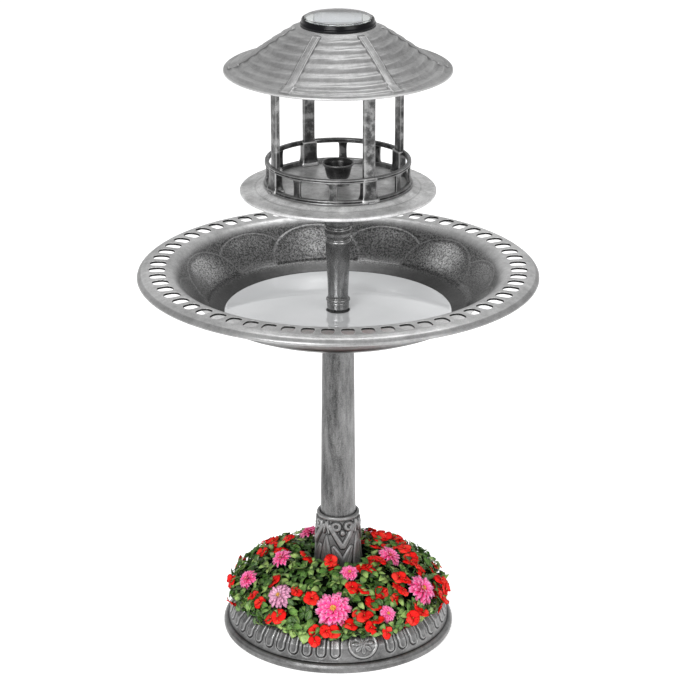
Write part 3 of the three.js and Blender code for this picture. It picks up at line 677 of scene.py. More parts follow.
SOCKET_LEVELS = [
    (11.8, 7.6, 0.1), (12.0, 7.8, 1.7), (11.8, 7.4, 3.9), (10.6, 6.2, 6.2), (9.9, 5.6, 9.7), (9.6, 5.4, 14.7),
    (9.6, 5.4, 30.2), (9.3, 5.1, 31.3), (7.8, 3.7, 31.3), (7.7, 3.6, 4.1),
]
BALUSTER_LEVELS = [
    (6.2, 2.2, 3.7), (5.4, 1.9, 6.1), (4.9, 1.7, 8.7), (4.7, 1.6, 16.7), (4.9, 1.7, 21.7), (5.4, 1.9, 25.1),
    (6.2, 2.2, 27.3),
]
BALUSTER_CIRCLE = 87
UPRIGHTS = 12             # places round the gallery; every third one is a post's


def make_gallery():
    turned("gallery_low_ring", gallery.low, [
        (84, 0.1), (91.4, 0.1), (91.8, 1.9), (90.2, 3.1), (90.4, 4.7), (89.4, 5.9), (84.8, 5.5),
    ], "feeder_tier", "dark_pewter", "dark_pewter", "gallery_rail", corner=0.9, sides=180)
    turned("gallery_top_rail", gallery.low, [
        (84.6, 26.3), (89.3, 26.3), (90, 27.5), (89, 28.9), (89.9, 30.2), (89, 31.9), (85.4, 31.9),
        (84.4, 30.1),
    ], "feeder_tier", "dark_pewter", "dark_pewter", corner=0.9, sides=180)
    for i in range(UPRIGHTS):
        if i % 3 != 1:
            azimuth = -4 + i * 360 / UPRIGHTS
            upright = sectioned(f"gallery_baluster_{i + 1}", BALUSTER_LEVELS, azimuth, BALUSTER_CIRCLE, 0.5)
            finish_piece(upright, "feeder_tier", "dark_pewter", "dark_pewter")
    for i, azimuth in enumerate(POST_AZIMUTHS):
        socket = sectioned(f"gallery_socket_{i + 1}", SOCKET_LEVELS, azimuth, POST_CIRCLE)
        finish_piece(socket, "feeder_tier", "dark_pewter", "dark_pewter")
        clip = block(f"post_clip_{i + 1}", (9, 2.4, 2.4), (0, -92.8, gallery.low + 1.2), 0.5, azimuth)
        finish_piece(clip, "feeder_tier", "dark_pewter", "cup_pewter")


# ---------------------------------------------------------------- upper post

def make_post():
    top = post.height
    turned("post_tube", post.low, [
        (8.3, 0), (14.6, 0), (15.2, 1.4), (14.8, 3.2), (13, 4.6), (12.6, 8), (13, 20), (15.5, 74),
        (16, 78.6), (15.6, 80.2), (14.3, 81.6), (14.3, top), (11.6, top), (11.6, top - 22),
        (9.4, top - 55), (8.3, top - 60),
    ], "feeder_tier", "pewter", "pewter_post", "upper_post", step=2.5)
    top = band.height
    turned("post_ring", band.low, [
        (14.6, 0), (16.3, 0), (16.8, 0.8), (16.4, 4.6), (16.8, top - 1.4), (16.2, top), (14.6, top),
    ], "feeder_tier", "pewter", "pewter_post", "post_band", corner=0.7)
    top = cone.height
    turned("post_cone", cone.low, [
        (3.4, 0), (16, 0), (16.6, 1.2), (16.6, 3), (18.4, 6), (20.6, 12), (21.4, 24), (23.4, 32), (30, top),
        (3.4, top),
    ], "feeder_tier", "pewter", "pewter_post", "tray_socket", corner=2.0, step=2.5)
    top = boss.height
    turned("bowl_boss_stem", boss.low, [
        (0, 0), (6, 0), (6, 46.3), (20, 46.3), (20, 48.6), (15.6, 50.8), (13.2, 56), (12.2, 64), (12.4, 69.4),
        (13.8, 71.6), (14, 80), (8, 80), (8, top - 2), (6, top), (0, top),
    ], "stand", "dark_pewter", "pewter_post", "bowl_boss", corner=1.2, step=2.5, closed=False)


# ---------------------------------------------------------------- bowl

SLOTS = 60
SLOT_MIDDLE = 224.5
SLOT_HALF_LENGTH = 10.4
SLOT_HALF_WIDTH = 8.1
RIM_INNER = 210.5
RIM_OUTER = 237.0
SECTOR_POINTS = 12         # points along each side of a slot's sector
RIM_THICKNESS = 3.0
PETALS = 12
WATER_Z = bowl.low + 25


def rim_top(radius):
    return np.interp(radius, (206, RIM_INNER, 222, RIM_OUTER), (488.6, 490.0, bowl.high, bowl.high - 0.4))


def sector_ring(size):
    """Points round one slot, from its edge (size 0) to its sector's border (size 1)."""
    n = SECTOR_POINTS
    side = np.linspace(-1, 1, n + 1)[:-1]
    border_x = np.concatenate([side, np.ones(n), -side, -np.ones(n)])
    border_y = np.concatenate([-np.ones(n), side, np.ones(n), -side])
    half_turn = 180 / SLOTS
    border_radius = (RIM_OUTER + RIM_INNER) / 2 + border_y * (RIM_OUTER - RIM_INNER) / 2
    border_turn = np.radians(border_x * half_turn)
    outline = np.arctan2(border_y * SLOT_HALF_LENGTH, border_x * SLOT_HALF_WIDTH)
    power = 2 / 2.7
    slot_x = np.sign(np.cos(outline)) * np.abs(np.cos(outline)) ** power * SLOT_HALF_WIDTH
    slot_y = np.sign(np.sin(outline)) * np.abs(np.sin(outline)) ** power * SLOT_HALF_LENGTH
    slot_radius = SLOT_MIDDLE + slot_y
    slot_turn = slot_x / slot_radius
    radius = slot_radius + (border_radius - slot_radius) * size
    turn = slot_turn + (border_turn - slot_turn) * size
    return radius, turn


def make_rim():
    """The pierced band of the rim: sixty rounded slots with soft edges, as one mesh part."""
    fillet = 0.45
    turns = [math.radians(90 * k / 3) for k in range(4)]
    rows = [(size, 0.0) for size in (1.0, 0.8, 0.6, 0.42, 0.28)]
    rows += [(0.2 * (1 - math.sin(turn)), fillet * (1 - math.cos(turn))) for turn in turns]
    rows.append((0.0, RIM_THICKNESS * 0.6))
    rows += [(0.2 * (1 - math.cos(turn)), RIM_THICKNESS - fillet * (1 - math.sin(turn))) for turn in turns]
    rows += [(size, RIM_THICKNESS) for size in (0.42, 0.7, 1.0)]
    around = 4 * SECTOR_POINTS
    verts, faces = [], []
    for sector in range(SLOTS):
        middle = math.radians((sector + 0.5) * 360 / SLOTS)
        for size, drop in rows:
            radius, turn = sector_ring(size)
            z = rim_top(radius) - drop
            verts.append(np.stack([radius * np.sin(middle + turn), -radius * np.cos(middle + turn), z], -1))
        faces.append(grid_faces(len(rows), around, False, True) + sector * len(rows) * around)
    return np.concatenate(verts), np.concatenate(faces)


def petal_cover(azimuth, rise):
    """Which petal lies on top at a point of the bowl's wall, and how near its edge is."""
    step = np.zeros_like(azimuth)
    edge = np.full_like(azimuth, 9.0)
    for parity, level in ((1, 0.5), (0, 1.0)):
        off = off_axis(azimuth, PETAL_START + parity * 360 / PETALS, PETALS // 2)
        share = np.clip(np.abs(off) / PETAL_HALF, 0, 1)
        arch = PETAL_RISE * np.sqrt(1 - share ** 2)
        slope = PETAL_RISE * share / np.sqrt(np.maximum(1 - share ** 2, 0.04)) * 2.2
        near = np.abs(arch - rise) / np.sqrt(1 + slope ** 2)
        inside = (arch > rise) & (np.abs(off) < PETAL_HALF)
        step = np.where(inside, level, step)
        edge = np.where(inside, near, np.minimum(edge, near))
    return step, edge


PETAL_START = 10
PETAL_HALF = 19.5
PETAL_RISE = 0.9
WALL_LOW = bowl.low + 36
WALL_HIGH = bowl.low + 75.6


def wall_relief(radius, height, azimuth):
    rise = (height - WALL_LOW) / (WALL_HIGH - WALL_LOW)
    on_wall = smooth_step(-0.08, 0.0, rise) * smooth_step(1.12, 1.02, rise) * (radius > 150)
    step, edge = petal_cover(azimuth, rise)
    return on_wall * (step - 0.4 * ridge(edge, 0.014)), 0.0


def mark_bowl(body):
    """Marks the stippled wall, darker partly as painted shade, with its petals, their outlines and their
    lighter centres, a painted highlight. Paints shade on the slot walls, the lip's lower half and the
    underside, and darkens the bowl's inside below a radius of 170 mm.
    """
    points = np.zeros(len(body.data.vertices) * 3)
    body.data.vertices.foreach_get("co", points)
    points = points.reshape(-1, 3) / MM
    height = points[:, 2]
    radius = np.hypot(points[:, 0], points[:, 1])
    azimuth = np.degrees(np.arctan2(points[:, 0], -points[:, 1]))
    rise = (height - WALL_LOW) / (WALL_HIGH - WALL_LOW)
    edge = petal_cover(azimuth, rise)[1]
    shell_middle = np.interp(radius, (76, 142, 165, 203), (413, 433, 444, 484)) - 1.2
    inner_face = height > shell_middle
    centre = off_axis(azimuth, PETAL_START, PETALS)
    mark(body, "wall", inner_face * (radius < 208) * smooth_step(1.12, 0.84, rise)
         * smooth_step(152, 166, radius))
    mark(body, "outline", inner_face * (rise > -0.05) * (rise < 1) * ridge(edge, 0.011) * 0.17)
    # The petals' lighter centres, a painted highlight.
    mark(body, "petal_highlight", inner_face * ridge(centre, 9) * smooth_step(-0.05, 0.3, rise)
         * smooth_step(0.02, 0.14, edge) * smooth_step(1.0, 0.7, rise))
    # The slots' walls and the rim below its top painted dark: painted shade inside the holes.
    slot_wall_shade = 0.97 * (height < rim_top(radius) - 0.4) * (radius > RIM_INNER) * (radius < RIM_OUTER + 0.5)
    # The underside painted dark in bands: painted shade under the bowl.
    below = ~inner_face & (height < rim_top(radius) - RIM_THICKNESS + 0.3) & (radius < 246)
    underside_shade = below * np.interp(radius, (142, 153, 167, 172, 200, 215, 245),
                                   (0.35, 0.97, 0.95, 0.4, 0.4, 0.6, 0.45))
    # The lip's lower half painted darker: painted shade under the rim's edge.
    lip = 0.35 * (radius > 243.5) * (height < 487.6)
    basin = 0.88 * inner_face * (radius < 190) * smooth_step(170, 163, radius)
    mark(body, "patina_and_shade", np.max([slot_wall_shade, underside_shade, lip, basin], 0))


def make_bowl():
    low = bowl.low
    floor_top, hole = low + 3, 6.3
    inner_rim, outer_rim = rim_top(RIM_INNER), rim_top(RIM_OUTER)
    inner = dense(rounded([
        (RIM_INNER, inner_rim), (206, 488.8), (200.6, WALL_HIGH), (184, 466.0), (166.4, 446.6),
        (162, 443.0), (142, 433.8), (110, 423.2), (76, floor_top), (hole, floor_top),
    ], 4.0, False), 1.1, False)
    under = dense(rounded([
        (hole, low), (76, low), (110, 420), (143, 430.8), (165, 440.8), (203, 482.2), (206.8, 485.6),
        (RIM_INNER, inner_rim - RIM_THICKNESS),
    ], 4.0, False), 3.0, False)
    lip = dense(rounded([
        (RIM_OUTER, outer_rim - RIM_THICKNESS), (243.8, 484.4), (247.4, 481.0), (249.2, 480.4),
        (250, 482.0), (249.0, 484.6), (244.6, 488.2), (RIM_OUTER, outer_rim),
    ], 2.2, False), 1.5, False)
    bore = [(hole, floor_top), (hole, low)]
    sides = SLOTS * SECTOR_POINTS
    parts = [revolve("bowl_part", outline, sides, relief, closed=False)
             for outline, relief in ((inner, wall_relief), (under, None), (lip, None))]
    parts.append(linked("bowl_rim", *make_rim()))
    parts.append(revolve("bowl_part", bore, sides, closed=False))
    body = join_objects("bowl_body", parts)
    tidy_mesh(body, 0.02)
    mark_bowl(body)
    finish_piece(body, "stand", "pewter", "pewter_bowl", "bowl")


def join_objects(name, parts):
    with bpy.context.temp_override(active_object=parts[0], selected_editable_objects=parts):
        bpy.ops.object.join()
    parts[0].name = name
    parts[0].data.name = name
    return parts[0]


def make_water():
    def ripples(radius, height, azimuth):
        top = height > WATER_Z - 0.5
        return top * 0.15 * np.sin(radius / 2.6) * np.exp(-(radius - 14) / 14), 0.0

    outline = [(14.6, WATER_Z - 6), (110, WATER_Z - 6), (141.0, WATER_Z - 0.6),
               (142.0, WATER_Z + 0.2), (140.4, WATER_Z), (14.6, WATER_Z)]
    finish_piece(revolve("water", dense(outline, 1.5), 256, ripples), "stand", None, "water")


# ---------------------------------------------------------------- column and hub

def segment_distance(x, y, start, end, half_width, taper=0.0):
    """The gap to a strap between two points, and the distance to its middle line."""
    ax, ay = start
    bx, by = end
    t = np.clip(((x - ax) * (bx - ax) + (y - ay) * (by - ay)) / ((bx - ax) ** 2 + (by - ay) ** 2), 0, 1)
    middle = np.hypot(x - ax - t * (bx - ax), y - ay - t * (by - ay))
    return middle - half_width * (1 - taper * t * t), middle


SCROLL_ASIDE = 8.6
SCROLL_DROP = 12.0        # below the collar's top
SCROLL_RADIUS = 4.3


def collar_relief(radius, height, azimuth):
    """Four pairs of scrolls with a bud, over crossing straps and broad veined leaves."""
    top = collar.high
    outside = smooth_step(25.4, 25.8, radius) * (height > 84) * (height < top - 5.5)
    x = radius * np.radians(off_axis(azimuth, 12, 4))
    side = np.abs(x)
    y = height - top
    aside, rise = side - SCROLL_ASIDE, y + SCROLL_DROP
    turn = np.arctan2(rise, aside)
    scroll = np.abs(np.hypot(aside, rise) - SCROLL_RADIUS + 0.9 * np.sin(turn + 0.6)) - 2.6
    straps = [
        segment_distance(side, y, (16.0, -13), (1.0, -40), 3.3, -0.1)[0],
        segment_distance(side, y, (20.6, -5), (17.6, -22), 2.4, 0.3)[0],
        np.hypot(x, (y + 21.5) * 0.8) - 3.4,
        scroll,
    ]
    gap = np.min(straps, 0)
    leaf_gap, vein = segment_distance(side, y, (3.8, -64), (11.5, -43), 7.6, 0.5)
    outer_gap, outer_vein = segment_distance(side, y, (21.5, -70), (21.5, -27), 7.6, 0.8)
    vein = np.where(outer_gap < leaf_gap, outer_vein, vein)
    leaf_gap = np.minimum(leaf_gap, outer_gap)
    free = smooth_step(0.2, 0.9, gap)
    leaf = 1.5 * smooth_step(0.2, -2.4, leaf_gap) - 0.5 * ridge(vein, 0.7)
    relief = np.maximum(2.5 * smooth_step(0.2, -1.5, gap), leaf * free)
    line = ridge(gap - 0.6, 1.0)
    leaf_line = (ridge(leaf_gap - 0.4, 0.8) + 0.4 * ridge(vein, 0.6)) * free
    hollow = 0.4 * (gap > 0) * (leaf_gap > 0)
    return outside * relief, outside * np.clip(np.max([line, leaf_line, hollow], 0), 0, 0.95)


def make_column():
    top = collar.height
    turned("collar_body", collar.low, [
        (20, 73), (26, 67), (26, 0), (31.7, 0), (31.7, 47), (30.2, 69), (28.6, 93), (26.8, top - 16),
        (25.9, top - 7.4), (26, top - 5.2), (27.4, top - 4), (27.6, top - 2.4), (27, top - 0.6),
        (26, top), (23.8, top), (23.8, 79.7), (20, 77.7),
    ], "stand", "pewter", "pewter_collar", "column_collar", corner=0.8, step=0.8, sides=420,
        relief=collar_relief)
    top = column.height
    turned("column_tube", column.low, [
        (20, 0), (23, 0), (23, 60), (22.4, 73), (20, top), (17.5, top), (17.5, 265), (20, 70),
    ], "stand", "pewter", "pewter_column", "column", corner=1.5, step=6, sides=128)
    top = hub.height
    turned("hub_body", hub.low, [
        (6.3, 0), (17.2, 0), (17.2, 15.3), (29, 15.3), (51.2, 18.6), (52, 20), (52, top), (6.3, top),
    ], "stand", "pewter", "pewter", "column_hub", step=3)


# ---------------------------------------------------------------- planter base

FLUTES = 48
FLUTE_START = -1.5
MEDALLION_AZIMUTH = 13.4
MEDALLION_RADIUS = 19.0
MEDALLION_PLACE = (136, 22)       # radius, and length up the flank
FLUTE_MIDDLE = 25.5
FLUTE_HALF_LENGTH = 20.5
FLUTE_HALF_WIDTH = 6.0


def base_relief(radius, height, azimuth):
    """Rounded flutes outlined by grooves, and one rosette medallion."""
    flank = (radius > 107) * (height > 12.5)
    along = np.interp(height, (13, 22, 32, 40.5, 45.4), (0, 9, 20, 32, 46))
    pitch = 360 / FLUTES
    across = radius * np.radians(off_axis(azimuth, FLUTE_START, FLUTES))
    beyond = np.maximum(np.abs(along - FLUTE_MIDDLE) - (FLUTE_HALF_LENGTH - FLUTE_HALF_WIDTH), 0)
    reach = np.hypot(across, beyond) / FLUTE_HALF_WIDTH
    groove = ridge(reach - 1.04, 0.15)
    flute = smooth_step(1.0, 0.72, reach) - 1.2 * groove - 0.4 * smooth_step(0.62, 0.2, reach)
    medal_off = (azimuth - MEDALLION_AZIMUTH + 180) % 360 - 180
    x = MEDALLION_PLACE[0] * np.radians(medal_off)
    y = along - MEDALLION_PLACE[1]
    rho = np.hypot(x, y)
    turn = np.arctan2(y, x)
    medal = 1.7 * smooth_step(MEDALLION_RADIUS + 0.6, MEDALLION_RADIUS - 0.6, rho)
    rim_line = ridge(rho - MEDALLION_RADIUS - 0.8, 0.7)
    medal -= 1.1 * smooth_step(16.6, 15.8, rho)
    petal = 14.0 * np.abs(np.cos(4 * turn)) ** 0.5
    medal += smooth_step(1.0, -1.5, rho - petal) * (rho > 4) + 1.2 * smooth_step(4.6, 3.0, rho)
    near = smooth_step(MEDALLION_RADIUS + 3.2, MEDALLION_RADIUS + 1.4, rho)
    skip = np.abs(medal_off) < pitch * 1.5
    plain = np.where(skip, 0.0, flute)
    relief = plain * (1 - near) + medal
    veins = smooth_step(0.9, 0.1, np.abs(rho - petal)) * (rho > 4) * (rho < 15.5)
    patina_and_shade = np.maximum(np.where(skip, 0.0, groove) * (1 - near), np.maximum(rim_line, 0.8 * veins))
    foot = ridge(radius - 143.2, 1.1) * (height > 8)
    return flank * relief * smooth_step(0, 2.5, along), np.maximum(flank * patina_and_shade, 0.95 * foot)


def make_base():
    edge = base.radius
    turned("base_shell", base.low, [
        (28, 11), (102.5, 11), (106.4, 40.4), (112, 42.4), (125.5, 37.8), (133.5, 30), (138.2, 11),
        (144.5, 7), (144.5, 0), (edge - 1.2, 0), (edge, 3), (edge, 7), (146.6, 10.6), (143.6, 11.6),
        (141.6, 12.6), (140.6, 20), (137.4, 30), (131, 38), (122, 43.2), (112, 45.8), (107.4, 46.2),
        (105.6, 44.4), (100, 14), (34, 14), (34, 48), (32, 48), (32, 14.7), (28, 14.7),
    ], "stand", "pewter", "pewter_base", "planter_base", corner=1.2, step=0.9, sides=1200,
        relief=base_relief)


# ---------------------------------------------------------------- flowers and leaves

class Blades:
    """Thin closed leaves or petals of one kind, gathered into one mesh. The shape gives the
    half width, as a share of the widest, at points from the root to the tip."""

    def __init__(self, name, shape, rows=7, columns=5, thickness=0.35):
        self.name = name
        self.thickness = thickness
        self.along = np.repeat(np.linspace(0, 1, rows), columns)
        self.across = np.tile(np.linspace(-1, 1, columns), rows)
        spots = np.linspace(0, 1, len(shape))
        self.share = np.interp(self.along, spots, shape)
        index = np.arange(rows * columns).reshape(rows, columns)
        self.inner = index[1:-1, 1:-1].ravel()
        below = index.ravel().copy()
        below[self.inner] = rows * columns + np.arange(len(self.inner))
        top = grid_faces(rows, columns)
        self.faces = np.concatenate([top, below[top][:, (0, 3, 2, 1)]])
        self.verts, self.tones, self.count = [], [], 0

    def add(self, root, forward, normal, length, half_width, bend=0.0, cup=0.0, tone=0.5, ruffle=0.0):
        """One blade. Bend is how far it droops in radians, and cup how far its sides rise."""
        forward = np.asarray(forward, float) / np.linalg.norm(forward)
        side = np.cross(forward, normal)
        side /= np.linalg.norm(side)
        normal = np.cross(side, forward)
        if abs(bend) < 0.02:
            bend = 0.02
        reach = length * np.sin(bend * self.along) / bend
        drop = -length * (1 - np.cos(bend * self.along)) / bend
        lift = drop + cup * length * np.abs(self.across) ** 1.5 * self.share
        lift = lift + ruffle * np.sin(self.along * 9 + self.across * 3) * np.abs(self.across)
        wide = self.across * self.share * half_width
        points = np.asarray(root) + np.outer(reach, forward) + np.outer(wide, side) + np.outer(lift, normal)
        self.verts.append(np.vstack([points, points[self.inner] - normal * self.thickness]))
        self.tones.append(tone)
        self.count += 1

    def build(self):
        size = len(self.along) + len(self.inner)
        faces = (self.faces[None] + size * np.arange(self.count)[:, None, None]).reshape(-1, 4)
        obj = linked(self.name, np.vstack(self.verts), faces)
        spread = {
            "tone": np.repeat(self.tones, size),
            "along": np.tile(np.concatenate([self.along, self.along[self.inner]]), self.count),
            "across": np.tile(np.abs(np.concatenate([self.across, self.across[self.inner]])), self.count),
        }
        for name, values in spread.items():
            mark(obj, name, values)
        return tidy_mesh(obj)


class Stalks:
    """Round tapered stalks between pairs of points, gathered into one mesh."""

    def __init__(self, sides=6):
        self.sides = sides
        self.verts, self.faces = [], []

    def add(self, start, end, radius, end_radius):
        start, end = Vector(start), Vector(end)
        turn = (end - start).to_track_quat("Z", "Y")
        first = len(self.verts)
        for place, size in ((start, radius), (end, end_radius)):
            for k in range(self.sides):
                angle = math.tau * k / self.sides
                self.verts.append(place + turn @ Vector((math.cos(angle), math.sin(angle), 0)) * size)
        ring = list(range(first, first + self.sides))
        self.faces += [ring[::-1], [i + self.sides for i in ring]]
        self.faces += [[a, b, b + self.sides, a + self.sides] for a, b in zip(ring, ring[1:] + ring[:1])]

    def build(self, name):
        return tidy_mesh(linked(name, np.array(self.verts), self.faces))


MOUND = [(38, 92), (60, 91), (85, 82), (108, 71), (124, 59), (131, 52), (128, 47)]
CORE = [(36, 43), (100, 43), (108, 47), (118, 47), (121, 51), (117, 56), (103, 65), (82, 75),
        (56, 83), (36, 84)]
LEAF_SHAPE = (0.10, 0.62, 0.95, 1.0, 0.84, 0.5, 0.06)
ZINNIA_SHAPE = (0.42, 0.50, 0.66, 0.85, 1.0, 0.98, 0.50)
ROUND_PETAL_SHAPE = (0.20, 0.62, 0.92, 1.06, 1.0, 0.72, 0.34)

# Azimuth, share of the way down the mound and diameter of each zinnia.
ZINNIAS = [
    (-3, 0.545, 46), (62, 0.58, 40), (80, 0.20, 31), (-80, 0.24, 28), (-76, 0.57, 28), (-41, 0.51, 33),
    (13, 0.18, 23), (29, 0.66, 22), (-147, 0.20, 32), (120, 0.96, 24), (140, 0.92, 30), (164, 0.88, 38),
    (-173, 0.92, 30), (-152, 0.90, 34), (-130, 0.96, 24), (178, 0.66, 26),
]
PALE_AZIMUTHS = (-41, -130)
# Azimuth, share of the way down and number of blooms of each cluster of red flowers.
RED_CLUSTERS = [
    (-8, 0.90, 5), (2, 0.80, 2), (21, 0.82, 4), (39, 0.88, 2), (50, 0.80, 4), (76, 0.74, 5),
    (-35, 0.74, 2), (-45, 0.83, 1), (-54, 0.60, 2), (-80, 0.84, 2), (7, 0.62, 2), (18, 0.58, 3),
    (30, 0.50, 3), (42, 0.46, 4), (14, 0.42, 2), (7, 0.40, 2), (-16, 0.46, 2), (-31, 0.43, 3),
    (-64, 0.34, 3), (-100, 0.32, 3), (-117, 0.28, 3), (-62, 0.10, 2), (-15, 0.05, 3), (40, 0.12, 5),
    (55, 0.36, 4), (62, 0.14, 4), (84, 0.42, 6), (98, 0.66, 4), (66, 0.86, 3), (100, 0.24, 4),
    (125, 0.42, 3), (132, 0.16, 5),
]
# Azimuth and length of the large leaves that hang over the base.
HANGING_LEAVES = [(-18, 27), (-25, 22), (-11, 21), (33, 20), (-70, 19), (68, 20), (150, 24), (-160, 22)]
BACK_CLUSTERS = 16
LEAVES = 3300
LEAF_DEPTHS = (-12, -8, -4, -1, 3, 7)     # below the mound's surface
LEAF_LENGTHS = (8, 17)
IMPATIENS_SIZES = (17, 23)
IMPATIENS_LIFTS = (5, 8, 11, 14)          # above the mound's surface
ZINNIA_LIFT = 9
UP = np.array([0.0, 0.0, 1.0])


def on_mound(azimuth, share):
    """A point of the planting's surface and the direction straight out of it."""
    path = np.array(MOUND, float)
    spots = np.linspace(0, 1, len(path))
    radius, z = (np.interp(share, spots, path[:, i]) for i in (0, 1))
    ahead, behind = (np.array([np.interp(share + step, spots, path[:, i]) for i in (0, 1)])
                     for step in (0.05, -0.05))
    along = ahead - behind
    turn = math.radians(azimuth)
    outward = np.array([math.sin(turn), -math.cos(turn), 0])
    normal = -along[1] * outward + along[0] * UP
    return outward * radius + z * UP, normal / np.linalg.norm(normal)


def outwards(place):
    """The level direction from the column's axis to a place."""
    return place * (1, 1, 0) / math.hypot(place[0], place[1])


def any_direction(normal):
    """A random direction at right angles to the normal."""
    while True:
        guess = np.array([rng.gauss(0, 1) for _ in range(3)])
        flat = guess - normal * guess.dot(normal)
        if np.linalg.norm(flat) > 0.2:
            return flat / np.linalg.norm(flat)


def ring_of(normal, count, phase=0.0):
    """Directions spread evenly round a normal."""
    first = any_direction(normal)
    second = np.cross(normal, first)
    for k in range(count):
        angle = math.tau * (k + phase) / count
        yield first * math.cos(angle) + second * math.sin(angle)


def zinnia(petals, hearts, centre, normal, size, tone):
    """Layers of spoon petals, shorter and more upright within, round a heart of small florets."""
    for layer, count in enumerate((19, 17, 13, 9)):
        lean = (-0.04, 0.18, 0.42, 0.72)[layer]
        length = size * (0.50, 0.43, 0.34, 0.25)[layer]
        for direction in ring_of(normal, count, rng.random()):
            rise = lean + rng.uniform(-0.12, 0.12)
            forward = direction * math.cos(rise) + normal * math.sin(rise) + any_direction(normal) * 0.12
            root = centre + direction * size * 0.05 + normal * layer * size * 0.035
            petals.add(root, forward, normal, length * rng.uniform(0.84, 1.06),
                       size * (0.073 - 0.008 * layer),
                       bend=0.45 - 0.12 * layer + rng.uniform(-0.15, 0.15), cup=0.13,
                       tone=tone + 0.08 * layer + rng.uniform(-0.15, 0.15))
    for radius, height, count in ((0.0, 0.15, 6), (0.035, 0.14, 9), (0.07, 0.12, 12)):
        for direction in ring_of(normal, count, rng.random()):
            root = centre + direction * size * radius + normal * size * height
            hearts.add(root, direction + normal * 0.35, normal, size * 0.055, size * 0.022,
                       bend=0.6, cup=0.1, tone=rng.uniform(0.2, 1.0))


def impatiens(petals, hearts, centre, normal, size):
    """Five broad ruffled petals of uneven size, some of them folded back."""
    for k, direction in enumerate(ring_of(normal, 5)):
        rise = rng.uniform(-0.1, 0.4)
        forward = direction * math.cos(rise) + normal * math.sin(rise)
        length = size * rng.uniform(0.42, 0.56)
        petals.add(centre + normal * 0.3 * k, forward, normal, length, length * rng.uniform(0.55, 0.7),
                   bend=rng.uniform(-0.2, 0.9), cup=rng.uniform(-0.06, 0.14), tone=rng.random(), ruffle=0.5)
    for direction in ring_of(normal, 3):
        hearts.add(centre + normal * 0.8, normal + direction * 0.6, direction, size * 0.07, size * 0.02,
                   bend=0.4, tone=rng.random())


def add_zinnias(pink, pale, hearts, stalks):
    """The zinnias of the list; returns the room that each takes."""
    taken = []
    for azimuth, share, size in ZINNIAS:
        place, normal = on_mound(azimuth, share)
        facing = normal + outwards(place) * 0.25
        facing /= np.linalg.norm(facing)
        centre = place + normal * ZINNIA_LIFT
        petals = pale if azimuth in PALE_AZIMUTHS else pink
        zinnia(petals, hearts, centre, facing, size, rng.uniform(0.2, 0.5))
        stalks.add(place - normal * 24, centre, 1.4, 1.1)
        taken.append((centre, size / 2))
    return taken


def add_impatiens(petals, hearts, stalks, taken):
    """Clusters of red flowers in the room between the zinnias."""
    taken = list(taken)
    clusters = RED_CLUSTERS + [(rng.uniform(110, 245), rng.uniform(0.1, 0.9), rng.randint(2, 4))
                               for _ in range(BACK_CLUSTERS)]
    for azimuth, share, count in clusters:
        for _ in range(count):
            beside = min(max(share + rng.uniform(-0.08, 0.08), 0.02), 0.96)
            place, normal = on_mound(azimuth + rng.uniform(-7, 7), beside)
            size = rng.uniform(*IMPATIENS_SIZES)
            centre = place + normal * rng.choice(IMPATIENS_LIFTS)
            if any(np.linalg.norm(centre - other) < reach + size * 0.3 for other, reach in taken):
                continue
            facing = normal + any_direction(normal) * rng.uniform(0, 0.75) + UP * 0.15
            impatiens(petals, hearts, centre, facing / np.linalg.norm(facing), size)
            stalks.add(place - normal * 20, centre, 0.9, 0.7)
            taken.append((centre, size * 0.12))


def add_leaves(leaves, taken):
    """Leaves all over the mound, but not in front of a zinnia."""
    for _ in range(LEAVES):
        share = rng.random() ** 0.75
        azimuth = rng.uniform(-180, 180)
        depth = rng.choice(LEAF_DEPTHS)
        place, normal = on_mound(azimuth, share)
        flow = any_direction(normal) + outwards(place) * 0.4 - UP * max(share - 0.6, 0) * 1.6
        forward = flow / np.linalg.norm(flow) + normal * rng.uniform(-0.1, 0.55)
        length = rng.uniform(*LEAF_LENGTHS)
        root = place - normal * depth - forward * length * 0.4
        root[2] = max(root[2], 50 if share > 0.7 else 46)
        middle = root + forward * length * 0.5
        if any(np.linalg.norm(middle - spot) < reach * 1.25 and (middle - spot).dot(normal) > -5
               for spot, reach in taken):
            continue
        facing = normal + any_direction(normal) * 0.5
        leaves.add(root, forward, facing, length, length * rng.uniform(0.22, 0.33),
                   bend=rng.uniform(0.1, 1.1), cup=rng.uniform(0.03, 0.16),
                   tone=rng.random() * (1.0 if depth < 2 else 0.5), ruffle=0.4)
    for azimuth, length in HANGING_LEAVES:
        place = on_mound(azimuth, 0.86)[0]
        outward = outwards(place)
        leaves.add(place - outward * 10, outward - UP * 0.35, UP + outward * 0.6, length, length * 0.42,
                   bend=0.7, cup=0.08, tone=0.95, ruffle=0.6)


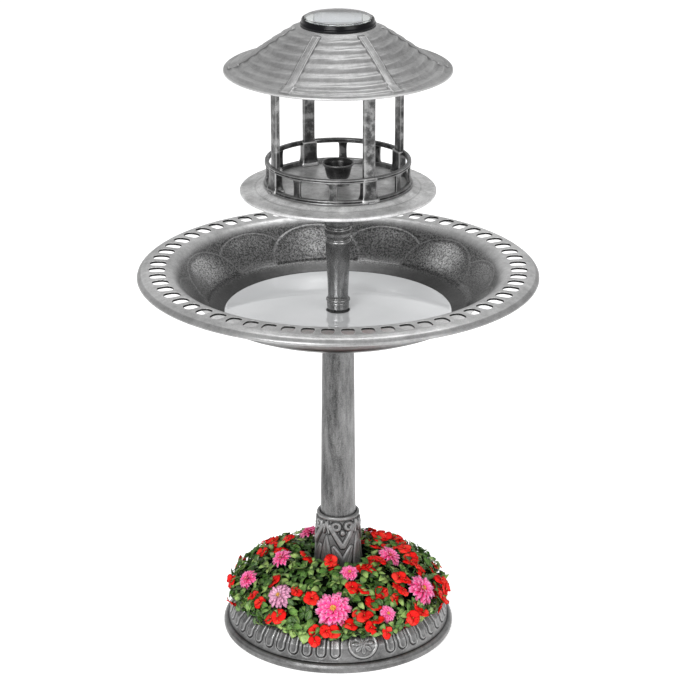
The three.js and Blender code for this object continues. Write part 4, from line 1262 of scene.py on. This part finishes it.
def make_planting():
    turns = [rng.uniform(0, 360) for _ in range(8)]

    def lumps(radius, height, azimuth):
        waves = [np.sin(np.radians(azimuth * (5 + 4 * k) + turn) + height / (7 + k)) / (1 + 0.3 * k)
                 for k, turn in enumerate(turns)]
        return 1.5 * sum(waves) * (radius > 45) * (height > 49), 0.0

    # The near-black core stands in for the shade deep among the leaves: painted shade.
    turned("planting_core", 0, CORE, "stand", "planting", "painted_shade_foliage", "flower_planting",
           corner=6, step=4, sides=200, relief=lumps)
    leaves = Blades("planting_leaves", LEAF_SHAPE, thickness=0.3)
    pink = Blades("zinnia_petals", ZINNIA_SHAPE)
    pale = Blades("pale_zinnia_petals", ZINNIA_SHAPE)
    red = Blades("impatiens_petals", ROUND_PETAL_SHAPE, rows=6)
    hearts = Blades("flower_hearts", (0.5, 0.8, 1.0, 0.6), rows=4, columns=3, thickness=0.25)
    stalks = Stalks()
    zinnias = add_zinnias(pink, pale, hearts, stalks)
    add_impatiens(red, hearts, stalks, zinnias)
    add_leaves(leaves, zinnias)
    for blades, look in ((leaves, "leaf"), (pink, "pink_petal"), (pale, "pale_petal"),
                         (red, "red_petal"), (hearts, "flower_heart")):
        finish_piece(blades.build(), "stand", "planting", look)
    finish_piece(stalks.build("planting_stalks"), "stand", "planting", "stalk")


# ---------------------------------------------------------------- building it all

# The looks of the CAD nodes that stay visible, by their material slots.
CAD_LOOKS = {name: name for name in ("black_plastic", "rubber", "steel", "soil", "solar_cell", "board",
                                     "battery_wrap", "brass", "white_plastic")}
CAD_LOOKS["led"] = "led_epoxy"


def dress_cad_nodes():
    slots = {part["node"]: part["material_slot"] for part in frame["record"]["subparts"]}
    for name, obj in frame["nodes"].items():
        if slots[name] in CAD_LOOKS:
            for i in range(len(obj.data.materials)):
                obj.data.materials[i] = LOOKS[CAD_LOOKS[slots[name]]]


make_camera()
make_studio()
make_materials()
dress_cad_nodes()
make_roof()
make_light()
make_tray()
make_gallery()
make_post()
make_bowl()
make_water()
make_column()
make_base()
make_planting()
